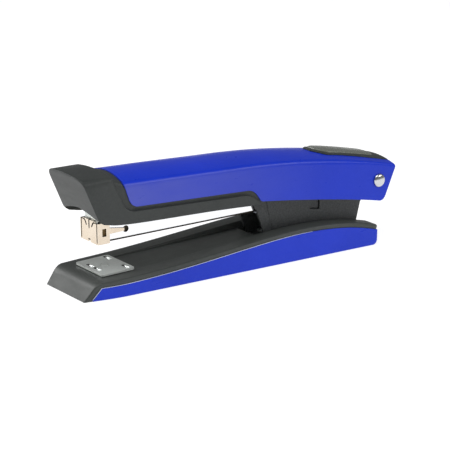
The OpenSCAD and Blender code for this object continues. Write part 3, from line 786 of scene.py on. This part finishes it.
def make_base_shell():
    """The blue lower shell: sides, underside and heel in one tray, with a pale bead along its top that paints the
    highlight on its upper edge.
    """
    blue = bezier(BLUE_BROW, *BLUE_PULL, (BASE_L, BLUE_TAIL_Z), EDGE_STEPS)
    top = np.concatenate([[(BLUE_FOOT_X, UNDER_Z), BLUE_BROW], blue[1:]])
    heel = soften([(3.4, UNDER_Z), (BASE_L - 2.2, UNDER_Z), (BASE_L - 0.7, 1.7), (BASE_L, 5.5)],
                  [0, 1.1, 1.2, 0], 5)
    stations = np.unique(np.round(np.concatenate([
        np.linspace(4.5, 9.2, 8), np.linspace(9.4, BASE_L - 7, 90), heel[1:, 0],
        np.linspace(BASE_L - 4, BASE_L, 12),
    ]), 3))
    rows = []
    for x in list(stations) + [BASE_L]:
        closing = len(rows) == len(stations)
        high = float(np.interp(x, top[:, 0], top[:, 1]))
        low = high - 0.02 if closing else float(np.interp(x, heel[:, 0], heel[:, 1]))
        half = float(base_half(x) - tail_inset(x))
        low_half = half - 0.1 * min((high - low) / 6, 1)
        a, b = np.array([x, half, high]), np.array([x, low_half, low])
        up = (a - b) / np.linalg.norm(a - b)
        r = min(0.5, (high - low) * 0.5)
        side = [a, a * 0.75 + (b + up * r) * 0.25, a * 0.3 + (b + up * r) * 0.7]
        rows.append(mirrored(side + rounded(b, up, INWARD, r) + [[x, 17, low], [x, 8, low]]))
    obj = shape("base_shell_piece", *loft(rows))
    face_up(obj, above=False)
    thicken(obj, SHELL_WALL)
    cut(obj, *bar((ANVIL_X, 0, -1), (ANVIL_X, 0, 4.5), 9))
    round_edges(obj, 0.3, 2, 40)
    place(obj, "base", "blue_shell", "base_shell", material=MATERIALS["blue_shell"])

    # Painted highlight: a pale bead along each top edge of the blue shell
    seam = np.concatenate([[(4.5, 0.9)], respaced(top[1:], 90)])
    seam = seam[seam[:, 0] < BEAD_END]
    for side, label in ((-1, "near"), (1, "far")):
        line = []
        for x, z in seam:
            sunk = BEAD_R * np.interp(x, [105, BEAD_END], [1.1, 3.2])
            line.append([x, side * (float(base_half(x)) - sunk), z + 0.02])
        obj = shape("base_highlight_bead_" + label, *tube(line, BEAD_R, 8))
        place(obj, "base", "blue_shell", material=PAINTED_HIGHLIGHT_BEAD)


# ---- covers ----------------------------------------------------------------------------

def crowned_section(half, low, crease_height, rise, radius, side_rows=5, crown_rows=8, camber=0.0):
    """Half of a section, from the bottom of its side to the middle of its crown: (y, z) pairs."""
    arc_r = (half * half + rise * rise) / (2 * rise)
    slope = math.asin(min(half / arc_r, 1))
    corner = np.array([half, crease_height])
    start = corner + np.array([0, -1.0]) * radius
    end = corner + np.array([-math.cos(slope), math.sin(slope)]) * radius
    points = []
    for t in np.linspace(0, 1, side_rows + 1)[:-1]:
        points.append([half - camber * t ** 3 * 0.2, low + (start[1] - low) * t])
    for t in np.linspace(0, 1, 7):
        points.append(start * (1 - t) ** 2 + corner * 2 * t * (1 - t) + end * t * t)
    for t in np.linspace(0, 1, crown_rows + 1)[1:]:
        y = end[0] * (1 - t)
        points.append([y, crease_height + rise - arc_r + math.sqrt(arc_r ** 2 - y * y)])
    return np.array(points)


TAIL_TOP = (OVERALL_L, 40.0)
TAIL_FOOT = (189.9, 23.6)
TAIL_RAKE = (TAIL_TOP[0] - TAIL_FOOT[0]) / (TAIL_TOP[1] - TAIL_FOOT[1])
OPENING_TOP = (24.9, 56.4)
OPENING_FOOT = (29.2, 43.9)
OPENING_RAKE = (OPENING_FOOT[0] - OPENING_TOP[0]) / (OPENING_TOP[1] - OPENING_FOOT[1])
CREASE_ROUND = 2.4
TAIL_ROUND = 1.5
TAIL_CORNER = 1.1
COVER_WALL = 1.7
FRONT_WALL = 1.6
PIN_HOLE_R = 2.56


def cover_low(x):
    """Height of the blue cover's lower edge."""
    curve = bezier((108.2, 34.3), (117.4, 33.5), (162.6, 27.7), (187.6, 22.0), 24)
    step = soften([(20, 44.2), (103.4, 41.3), (107.9, 34.35), (118, 33.4)], [0, 4.5, 1.2, 0], 6)
    line = np.concatenate([step[:-1], curve[1:]])
    return np.interp(x, line[:, 0], line[:, 1])


def quarter(distance, radius):
    """How far a rounded corner of this radius draws back, at a distance from its edge."""
    near = max(radius - distance, 0)
    return radius - math.sqrt(radius ** 2 - near ** 2)


def cover_row(base_x):
    """Points over half the blue cover, with the heights of its lower edge and its crease there."""
    front = 1 - smooth_step(base_x, OPENING_TOP[0], 52)
    rear = smooth_step(base_x, 150, OVERALL_L)

    def x_at(z):
        lean = front * OPENING_RAKE * max(OPENING_TOP[1] - z, 0)
        return base_x + lean + rear * TAIL_RAKE * min(z - TAIL_TOP[1], 0)

    lift = quarter(base_x - OPENING_TOP[0], 3.6) + quarter(OVERALL_L - base_x, 4.0)
    low = float(cover_low(base_x))
    for _ in range(3):
        low = float(cover_low(min(x_at(low), 187.5))) + lift
    crease_height = float(crease(base_x)) - 0.5 * quarter(OVERALL_L - base_x, 1.4) / 1.4
    rounding = CREASE_ROUND + (TAIL_ROUND - CREASE_ROUND) * rear
    section = crowned_section(COVER_HALF, low, crease_height, float(crown_rise(base_x)), rounding,
                              side_rows=8, camber=0.3)
    return np.array([[x_at(z), y, z] for y, z in section]), low, crease_height


def make_cover_shell():
    """The blue cover: one long crowned shell that bends down and closes at the tail."""
    stations = np.concatenate([
        OPENING_TOP[0] + np.array([0, 0.35, 0.9, 1.7, 2.7, 4.0, 5.6]), np.arange(34, 98, 4.0),
        np.arange(99, 110, 0.75),
        np.arange(112, 186, 3.0), OVERALL_L - np.array([9, 7, 5.4, 4.2, 3.2, 2.4, 1.7, 1.1]),
    ])
    rows = [cover_row(x)[0] for x in stations]
    last, low, crease_height = cover_row(OVERALL_L)
    rise = float(crown_rise(OVERALL_L))

    def ring(depth):
        """The rear wall's line of points, this far in from its outer edge."""
        section = crowned_section(COVER_HALF - depth, low, crease_height - 0.25 * depth,
                                  rise * (1 - depth / 17), max(TAIL_ROUND - 0.3 * depth, 0.3), side_rows=8)
        return np.array([[OVERALL_L + TAIL_RAKE * min(z - TAIL_TOP[1], 0), y, z] for y, z in section])

    into = ring(TAIL_CORNER) - last
    back = cover_row(OVERALL_L - TAIL_CORNER)[0] - last
    rows += rounded(last, back, into)[1:]
    rows += [ring(depth) for depth in (2.4, 4.0, 5.7)]
    full = [np.concatenate([row, row[-2::-1] * [1, -1, 1]]) for row in rows]
    obj = shape("cover_shell_piece", *loft(full))
    face_up(obj)
    thicken(obj, COVER_WALL)
    cut(obj, *bar((PIN[0], -30, PIN[2]), (PIN[0], 30, PIN[2]), PIN_HOLE_R))
    round_edges(obj, 0.3, 2, 40)
    place(obj, "cover", "blue_shell", "cover_shell", material=BLUE_COVER)


NOSE_Z = 62.25
NOSE_RAKE = 0.43
NOSE_CROWN = 1.7
NOSE_FALL = math.tan(math.radians(0.9))
NOSE_FOOT = 39.6
NOSE_ROUND, BAND_ROUND = 4.4, 2.2
NOSE_TURN = 0.8
# The sunken band beside the blue cover: share of the way to its inner edge, and depth
COVE = ((0.03, 0.5), (0.08, 1.0), (0.18, 1.25), (0.42, 0.95), (0.72, 0.42), (1.0, 0))
# The arch in the foot of the nose: half width, height, drop and the number of steps over it
ARCH_REACH, ARCH_Z, ARCH_DROP, ARCH_STEPS = 17.2, 43.2, 3.9, 16


def nose_face_x(z):
    """The raked front face of the nose."""
    return 0.6 + (61.7 - z) * NOSE_RAKE


def nose_crease(x):
    """Height of the crease between the nose's sides and its crown."""
    return NOSE_Z - NOSE_CROWN - x * NOSE_FALL


def band_outer_x(z):
    """Station of the outer edge of the band beside the blue cover's front edge."""
    return 17.9 + max(58.6 - z, 0) * 0.49


def band_inner_x(z):
    """Station of the band's inner edge, where the blue cover begins."""
    return OPENING_TOP[0] + max(OPENING_TOP[1] - z, 0) * OPENING_RAKE


def make_front_cover():
    """The black front cover: nose, sunken band around the blue opening, and both skirts."""
    half, inner_half = FRONT_HALF, COVER_HALF - 0.55
    crown_n = 10
    # Over the top: sections at the front edge, at the band and at the blue cover
    sections = [
        crowned_section(half, 40, nose_crease(0), NOSE_CROWN, NOSE_ROUND, 1, crown_n),
        crowned_section(half, 40, nose_crease(band_outer_x(60)), NOSE_CROWN, BAND_ROUND, 1, crown_n),
        crowned_section(inner_half, 40, float(crease(OPENING_TOP[0])) - 0.5,
                        float(crown_rise(OPENING_TOP[0])), CREASE_ROUND, 1, crown_n),
    ]
    sections = [section[1:] for section in sections]
    start_z = [section[0][1] for section in sections]

    # Down the side and along the skirt to its tip
    edge = np.concatenate([
        bezier((107.2, 32.5), (69.7, 35.2), (24.9, 34.0), (16, 36.8), 30),
        soften([(16, 36.8), (12.9, 37.3), (nose_face_x(NOSE_FOOT), NOSE_FOOT),
                (nose_face_x(start_z[0]), start_z[0])], [0, 1.2, 1.2, 0], 5)[1:],
    ])
    outer = soften([(106.4, 34.1), (101.2, 38.9), (26.2, 41.7), (band_outer_x(start_z[1]), start_z[1])],
                   [0, 4.5, 5.5, 0], 8)
    inner = soften([(107.5, 34.6), (103.4, 41.3), OPENING_FOOT, (band_inner_x(start_z[2]), start_z[2])],
                   [0, 4.5, 4.2, 0], 8)

    def split(line, x_limit):
        """Respaces a line before and after the place where it first passes x_limit."""
        first = int(np.argmax(line[:, 0] < x_limit))
        return np.concatenate([respaced(line[:first + 1], 34)[:-1], respaced(line[first:], 22)])

    def whole(side, turn_x, side_half, top_x, section):
        """A line up the side and on over the top, where top_x gives its stations."""
        up = [(x, side_half, z) for x, z in split(side, turn_x)]
        return np.array(up + [(top_x(z), y, z) for y, z in section[1:]], float)

    edge_line = whole(edge, 22.0, half, nose_face_x, sections[0])
    outer_line = whole(outer, 32.0, half, band_outer_x, sections[1])
    inner_line = whole(inner, 33.5, inner_half, band_inner_x, sections[2])

    # Which way the front face lies from each point of the outer edge
    along = np.gradient(edge_line, axis=0)
    inward = np.cross(along, [-1.0, 0, -NOSE_RAKE])
    inward /= np.linalg.norm(inward, axis=1)[:, None]
    on_face = edge_line[:, 2] > NOSE_FOOT + 0.5
    inward[~on_face] = [0, -1, 0]
    toward = np.array([8, 0, 48]) - edge_line
    inward[on_face & ((inward * toward).sum(1) < 0)] *= -1

    rows = []
    for e, o, i, into in zip(edge_line, outer_line, inner_line, inward):
        flat = (o - e) / np.linalg.norm(o - e)
        row = rounded(e, into, flat, NOSE_TURN)
        start = row[-1]
        row += [start * (1 - share) + o * share for share in (0.3, 0.65, 0.94, 1.0)]
        core = np.array([0, -o[1], 45 - o[2]])
        core = INWARD if o[2] < nose_crease(o[0]) - 3 else core / np.linalg.norm(core)
        row += [o + (i - o) * share + core * sink for share, sink in COVE]
        rows.append(np.array(row))
    full = rows + [row * [1, -1, 1] for row in rows[-2::-1]]
    points, faces = loft(full)

    # Front face: its rim is the first point of each line on the nose; its lower edge is an arch
    width = len(full[0])
    rim = [i * width for i, row in enumerate(full) if row[0][0] < nose_face_x(NOSE_FOOT) + 0.1]
    arch = []
    for k in range(1, ARCH_STEPS):
        y = ARCH_REACH * (2 * k / ARCH_STEPS - 1)
        z = ARCH_Z - ARCH_DROP * (abs(y) / ARCH_REACH) ** 1.45
        arch.append([nose_face_x(z), y, z])
    faces.append(tuple(rim + list(range(len(points), len(points) + len(arch)))))
    obj = shape("front_cover_piece", np.concatenate([points, arch]), faces)
    face_up(obj)
    thicken(obj, FRONT_WALL)
    round_edges(obj, 0.25, 2, 40)
    place(obj, "cover", "black_plastic", "front_cover", material=MATERIALS["black_plastic"])


def crown_ring(x, half, rise, edge, sink=0.5):
    """A section of a plate that lies on the crown, with a rounded rim and a closed underside."""
    top = [(half - edge * (1 - math.cos(turn)), rise - edge * (1 - math.sin(turn)))
           for turn in np.linspace(0, math.pi / 2, 5)]
    top += [((half - edge) * share, rise) for share in (0.75, 0.5, 0.25, 0)]
    upper = [[x, y, float(crown_z(x, y)) + h] for y, h in top]
    lower = [[x, y, float(crown_z(x, y)) - sink] for y in (half, half * 0.5, 0)]
    ring = upper + [[p[0], -p[1], p[2]] for p in upper[-2::-1]]
    return ring + [[p[0], -p[1], p[2]] for p in lower] + lower[-2::-1]


def tail_outline(front, shoulder, rear, half, front_half, corner):
    """Stations and half widths of a plate with a narrower front and rounded rear corners."""
    side = soften([(front, 0), (front, front_half), (shoulder, half), (rear, half), (rear, 0)],
                  [0, 1.2, 2.0, corner, 0], 5)[1:-1]
    x = np.concatenate([
        front + (shoulder + 2 - front) * np.linspace(0, 1, 12) ** 1.6,
        np.linspace(shoulder + 4, rear - corner, 12),
        rear - corner + corner * np.sin(np.linspace(0.15, math.pi / 2, 6)),
    ])
    return x, np.interp(x, side[:, 0] + np.arange(len(side)) * 1e-6, side[:, 1])


def make_tail():
    """The black bezel on the tail, with the soft pad set in it."""
    for node, slot, sizes, rise, edge, fall, fall_from, flare in (
        ("tail_bezel", "black_plastic", (149.2, 154.6, 195.6, 9.6, 3.4, 1.0), 0.7, 0.35, 0.3,
         (175, 192), 0.2),
        ("tail_pad", "soft_pad", (152.0, 157.2, 188.4, 7.9, 3.6, 3.6), 1.55, 0.7, 0.35, (160, 190), 0),
    ):
        x, half = tail_outline(*sizes)
        half = half * (1 + flare * smooth_step(x, 158, 192))
        columns = []
        for station_x, station_half in zip(x, half):
            near_end = min(station_x - x[0], x[-1] - station_x)
            height = rise - fall * smooth_step(station_x, *fall_from)
            inset = edge - math.sqrt(max(edge ** 2 - max(edge - near_end, 0) ** 2, 0))
            columns.append(crown_ring(station_x, station_half, max(height - inset, 0.05),
                                      min(edge, height * 0.8)))
        obj = shape(node + "_piece", *loft(columns, wrap_points=True, caps=True))
        round_edges(obj)
        place(obj, "cover", slot, node, material=MATERIALS[slot])


# ---- yoke and pin ----------------------------------------------------------------------

YOKE_FRONT = ((116.5, 33.5), (115.6, 27.5), (118.6, 22), (120.9, 12.6))
YOKE_REAR = [(173.9, 12.6), (177.2, 21.6), (180.0, 27.0), (171, 31.5)]
FIELD_PROUD = 0.35
WINDOW = [(144.0, 23.0), (150.5, 22.0), (150.5, 40.0), (144.0, 40.0)]


def make_yoke():
    """The pressed yoke, with a textured field standing a hair proud on each side."""
    refined("yoke", 0.35, 3)
    half = node_box("yoke")[1][1]
    outline = np.concatenate([bezier(*YOKE_FRONT, 10), YOKE_REAR])
    middle = outline.mean(0)
    for side, label in ((-1, "near"), (1, "far")):
        rows = []
        for inset, out in ((0, -0.05), (0, FIELD_PROUD * 0.5), (0.25, FIELD_PROUD), (3, FIELD_PROUD)):
            share = inset / np.linalg.norm(outline - middle, axis=1)
            shrunk = outline + (middle - outline) * share[:, None]
            rows.append([[x, side * (half + out), z] for x, z in shrunk])
        obj = shape("yoke_field_" + label, *loft(rows, wrap_points=True, caps=True), smooth=False)
        # The window's slot shows through the field
        cut(obj, [[x, y, z] for y in (side * (half - 3), side * (half + 3)) for x, z in WINDOW], BLOCK_FACES)
        round_edges(obj)
        place(obj, "base", "crinkle_black", material=MATERIALS["crinkle_black"])


PIN_R = 2.5
DOME_R = 3.68


def make_pin():
    """The hinge pin with a domed head, and the dome pressed on its far end."""
    reach = COVER_HALF + 0.05
    rise = -node_box("pivot_pin")[0][1] - reach - 0.05
    dome = [(0, -0.02), (3.3, -0.02), (3.6, 0.1), (DOME_R, 0.25)]
    for turn in np.linspace(0.25, math.pi / 2, 9):
        dome.append((DOME_R * math.cos(turn * 0.98), 0.25 + (rise - 0.25) * math.sin(turn)))
    dome[-1] = (0, rise)
    head = lathe(dome, (PIN[0], -reach, PIN[2]), (0, -1, 0))
    shaft = bar((PIN[0], -reach, PIN[2]), (PIN[0], reach - 0.05, PIN[2]), PIN_R, 64)
    cap = lathe(dome, (PIN[0], reach, PIN[2]), (0, 1, 0))
    for node, (points, faces) in (("pivot_pin", joined(head, shaft)), ("pin_cap", cap)):
        obj = shape(node + "_piece", points, faces)
        round_edges(obj)
        place(obj, "base", "bright_steel", node, material=PIN_STEEL)


# ---- magazine --------------------------------------------------------------------------

def tilted(points):
    """Turns level magazine stations about the hinge pin to the magazine's slope."""
    points = np.asarray(points, float) - [PIN[0], 0, PIN[2]]
    c, s = math.cos(MAGAZINE_TILT), math.sin(MAGAZINE_TILT)
    return np.stack([points[:, 0] * c - points[:, 2] * s, points[:, 1],
                     points[:, 0] * s + points[:, 2] * c], 1) + [PIN[0], 0, PIN[2]]


def levelled(point):
    """Undoes tilted() for one station."""
    c, s = math.cos(MAGAZINE_TILT), math.sin(MAGAZINE_TILT)
    dx, dz = point[0] - PIN[0], point[2] - PIN[2]
    return [PIN[0] + dx * c + dz * s, point[1], PIN[2] - dx * s + dz * c]


MAG_Z = PIN[2] - 6.4
RAIL_FRONT = 17.0
RAIL_TOP = MAG_Z + 6.7
RAIL_W = 11.6
ROD_Z = MAG_Z + 4.4
STRIP_L = 60.0


def make_staples():
    """The strip: one bent wire after another, glued side by side."""
    pitch, wire_w, wire_t, chamfer = 0.6, 0.56, 0.42, 0.1
    half = RAIL_W / 2 + 0.1 + wire_t
    low, top = MAG_Z + 1.1, RAIL_TOP + 0.1 + wire_t
    outer = soften([(-half, low), (-half, top), (half, top), (half, low)], [0, 0.8, 0.8, 0], 3)
    inner = soften([(-half + wire_t, low), (-half + wire_t, top - wire_t),
                    (half - wire_t, top - wire_t), (half - wire_t, low)], [0, 0.4, 0.4, 0], 3)
    width = len(outer)
    parts = []
    for i in range(int(STRIP_L / pitch)):
        x = RAIL_FRONT + 0.1 + i * pitch
        rows = []
        for dx, draw in ((0, chamfer), (chamfer, 0), (wire_w - chamfer, 0), (wire_w, chamfer)):
            rows.append([[x + dx, y * (1 - draw / half), z - draw * 0.5 * (z > low + 0.01)]
                         for y, z in outer])
        rows += [[[x + dx, y, z] for y, z in inner] for dx in (wire_w, 0)]
        points, faces = loft(rows, wrap_rows=True)
        starts = [k * width for k in range(len(rows))]
        faces += [tuple(starts), tuple(k + width - 1 for k in reversed(starts))]
        parts.append((points, faces))
    points, faces = joined(*parts)
    mesh = cleaned(mesh_from("staple_strip_piece", tilted(points), faces), distance=0.000001)
    obj = new_object("staple_strip_piece", mesh, smooth=False)
    place(obj, "magazine", "staples", "staple_strip", material=MATERIALS["staples"])


def coil_path(centre, axis, across, radius, length, turns, wire, per_turn=20):
    """Points of a spring whose end turns lie flat."""
    axis, across = np.array(axis, float), np.array(across, float)
    other = np.cross(axis, across)
    t = np.linspace(0, 1, int(turns * per_turn) + 1)
    flat = 1.2 / turns
    seat, span = 2.2 * wire, length - 2 * wire
    rise = np.interp(t, [0, flat, 1 - flat, 1], [0, seat, span - seat, span])
    angle = t * turns * 2 * math.pi
    around = np.outer(np.cos(angle), across) + np.outer(np.sin(angle), other)
    return np.array(centre, float) + np.outer(rise + wire, axis) + radius * around


def make_spring(node, body, path, wire, up):
    """A coil spring on its body, with a mesh of its own."""
    obj = shape(node + "_piece", *tube(path, wire, 8, up=up))
    place(obj, body, "spring_steel", node, material=MATERIALS["spring_steel"])
    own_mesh(obj)


def make_springs():
    """The pusher's long spring and the spring over the anvil button."""
    low, high = node_box("pusher_spring")
    length = (high[0] - low[0]) / math.cos(MAGAZINE_TILT)
    path = tilted(coil_path((low[0], 0, ROD_Z), (1, 0, 0), (0, 1, 0), 2.0, length, 17, 0.28))
    make_spring("pusher_spring", "magazine", path, 0.28, (1, 0, 0))

    normal = np.array([-math.sin(DECK_TILT), 0, math.cos(DECK_TILT)])
    ahead = np.array([math.cos(DECK_TILT), 0, math.sin(DECK_TILT)])
    foot = np.array([ANVIL_X, 0, deck_z(ANVIL_X)]) + normal * -7.05
    length = 4.6
    path = coil_path(foot, normal, ahead, 4.6, length, 4, 0.34, 28)
    make_spring("anvil_spring", "base", path, 0.34, tuple(normal))


def make_magazine():
    """The chrome channel, its lower edges bent to a full radius."""
    obj = cad_copy("magazine_channel")
    half = node_box("magazine_channel")[1][1]
    with editing(obj.data) as work:
        weight = work.edges.layers.float.new("bevel_weight_edge")
        for edge in work.edges:
            ends = [station(v.co) for v in edge.verts]
            low = all(abs(levelled(p)[2] - MAG_Z) < 0.1 and abs(abs(p[1]) - half) < 0.05 for p in ends)
            edge[weight] = 1.0 if low and edge.calc_length() > 5 * MM else 0.0
    bend = obj.modifiers.new("bend", "BEVEL")
    bend.limit_method = "WEIGHT"
    bend.width = 0.95 * MM
    bend.segments = 5
    apply_modifiers(obj)
    round_edges(obj, 0.15, 2)
    place(obj, "magazine", SLOT_OF["magazine_channel"], "magazine_channel",
          material=MATERIALS["bright_steel"])
    # A dark strip along each lower edge of the channel: painted shade under the chrome
    boxes = []
    for side in (-1, 1):
        ys = sorted((side * (half - 0.5), side * (half + 0.06)))
        boxes.append(((21.3, ys[0], MAG_Z - 0.25), (171.5, ys[1], MAG_Z + 0.6)))
    painted_shade_plates("magazine_shade_strip", boxes, 0.1, PAINTED_SHADE_DARK)


def make_sheath():
    """The brass sheath, its cheeks parted from the front plate by a narrow slit."""
    half = node_box("front_sheath")[1][1]
    cuts = []
    for side in (-1, 1):
        ys = sorted((side * (half - 0.6), side * (half - 1.45)))
        block = [[x, y, z] for y in ys for x, z in
                 ((14.0, MAG_Z - 3), (16.2, MAG_Z - 3), (16.2, MAG_Z + 12), (14.0, MAG_Z + 12))]
        cuts.append((list(tilted(block)), BLOCK_FACES))
    refined("front_sheath", 0.16, cuts=cuts)
    # Painted shade: dark plates behind the front slit and at the tongue's slot, and shaded brown brass plates
    # behind the windows
    boxes = [((15.5, -7.5, MAG_Z - 0.6), (15.75, 7.5, MAG_Z + 9.4))]
    window = []
    for side in (-1, 1):
        window.append(((15.5, side * 7.55 - 0.1, MAG_Z - 0.4), (19.9, side * 7.55 + 0.1, MAG_Z + 9.0)))
        boxes.append(((29.2, side * 6.95 - 0.1, MAG_Z + 1.6), (33.4, side * 6.95 + 0.1, MAG_Z + 6.6)))
    painted_shade_plates("sheath_painted_shade", boxes, 0.06, PAINTED_SHADE_DARK)
    painted_shade_plates("sheath_window_painted_shade", window, 0.06, WINDOW_PAINTED_SHADE)


def painted_shade_plates(name, boxes, edge, material):
    """Thin level plates of the magazine, as one piece: sheets of painted shade."""
    parts = []
    for (x0, y0, z0), (x1, y1, z1) in boxes:
        corners = [(x0, z0), (x1, z0), (x1, z1), (x0, z1)]
        parts.append((list(tilted([[x, y, z] for y in (y0, y1) for x, z in corners])), BLOCK_FACES))
    obj = shape(name, *joined(*parts))
    round_edges(obj, edge)
    place(obj, "magazine", "spring_steel", material=material)


def deck_frame(ahead, y, up):
    """A station given along, across and above the deck, from the anvil's post."""
    c, s = math.cos(DECK_TILT), math.sin(DECK_TILT)
    return [ANVIL_X + ahead * c - up * s, y, deck_z(ANVIL_X) + ahead * s + up * c]


PLATE_TOP = 1.4
POST_R = 2.0
GROOVES = ((-6.6, 3.4), (-6.6, -3.4), (6.6, 8.8), (6.6, -8.8))
TROUGH = ((-0.8, 0.1), (0, 0), (0.8, 0.1), (0.8, -0.25), (-0.8, -0.25))


def groove_block(ahead, y, half_w, floor, ends):
    """A block along a groove: its two ends, each with a place along Y and a top."""
    return [deck_frame(ahead + dx, y + dy, up) for dy, top in ends for dx, up in
            ((-half_w, floor), (half_w, floor), (half_w, top), (-half_w, top))]


def make_anvil():
    """The anvil plate, with a bright bent trough let into each groove, a dark block of painted shade at one end of
    each groove, and a ring round its post.
    """
    cuts = [(groove_block(ahead, y, 0.85, 0, ((-3.3, 3), (3.3, 3))), BLOCK_FACES) for ahead, y in GROOVES]
    cuts.append(bar(deck_frame(0, 0, -1), deck_frame(0, 0, 3), POST_R + 0.4, 48))
    refined("anvil_plate", 0.12, cuts=cuts)
    troughs, pit_shades = [], []
    for ahead, y in GROOVES:
        rows = []
        for t in np.linspace(0, 1, 9):
            across = -3.25 + 5.0 * t
            sag = PLATE_TOP - 0.12 - 0.55 * math.sin(math.pi * (0.12 + 0.76 * t))
            rows.append([deck_frame(ahead + dx, y + across, sag + dz) for dx, dz in TROUGH])
        troughs.append(loft(rows, wrap_points=True, caps=True))
        # A dark block at one end of each groove paints the shade on its steep end wall
        pit_shades.append((groove_block(ahead, y, 0.88, 0.15, ((2.0, 0.15), (3.36, 1.25))), BLOCK_FACES))
    for name, parts, material in (("anvil_pit_shade", pit_shades, PAINTED_SHADE_DARK),
                                  ("anvil_grooves", troughs, MATERIALS["bright_steel"])):
        obj = shape(name, *joined(*parts))
        round_edges(obj, 0.04)
        place(obj, BODY_OF["anvil_plate"], SLOT_OF["anvil_plate"], material=material)


# ---- assembly --------------------------------------------------------------------------

make_camera()
make_studio()

make_base_cover()
make_base_shell()
make_cover_shell()
make_front_cover()
make_tail()
make_yoke()
make_pin()
make_staples()
make_springs()
make_magazine()
make_sheath()
make_anvil()

for small, edge in (
    ("base_foot", 0.3), ("base_screws", 0.12), ("yoke_rivets", 0.2), ("lift_spring", 0.08),
    ("lift_spring_rivet", 0.15), ("pin_washers", 0.1), ("anvil_button", 0.25),
    ("anvil_post", 0.1), ("anvil_clip", 0.06), ("staple_rail", 0.15),
    ("rail_rivets", 0.1), ("magazine_cap", 0.2), ("guide_rod", 0.1),
    ("pusher", 0.15), ("cover_frame", 0.2), ("cover_screws", 0.12), ("cover_spring", 0.08),
    ("cover_spring_rivet", 0.15), ("driver_blade", 0.1), ("blade_rivets", 0.1),
):
    refined(small, edge)
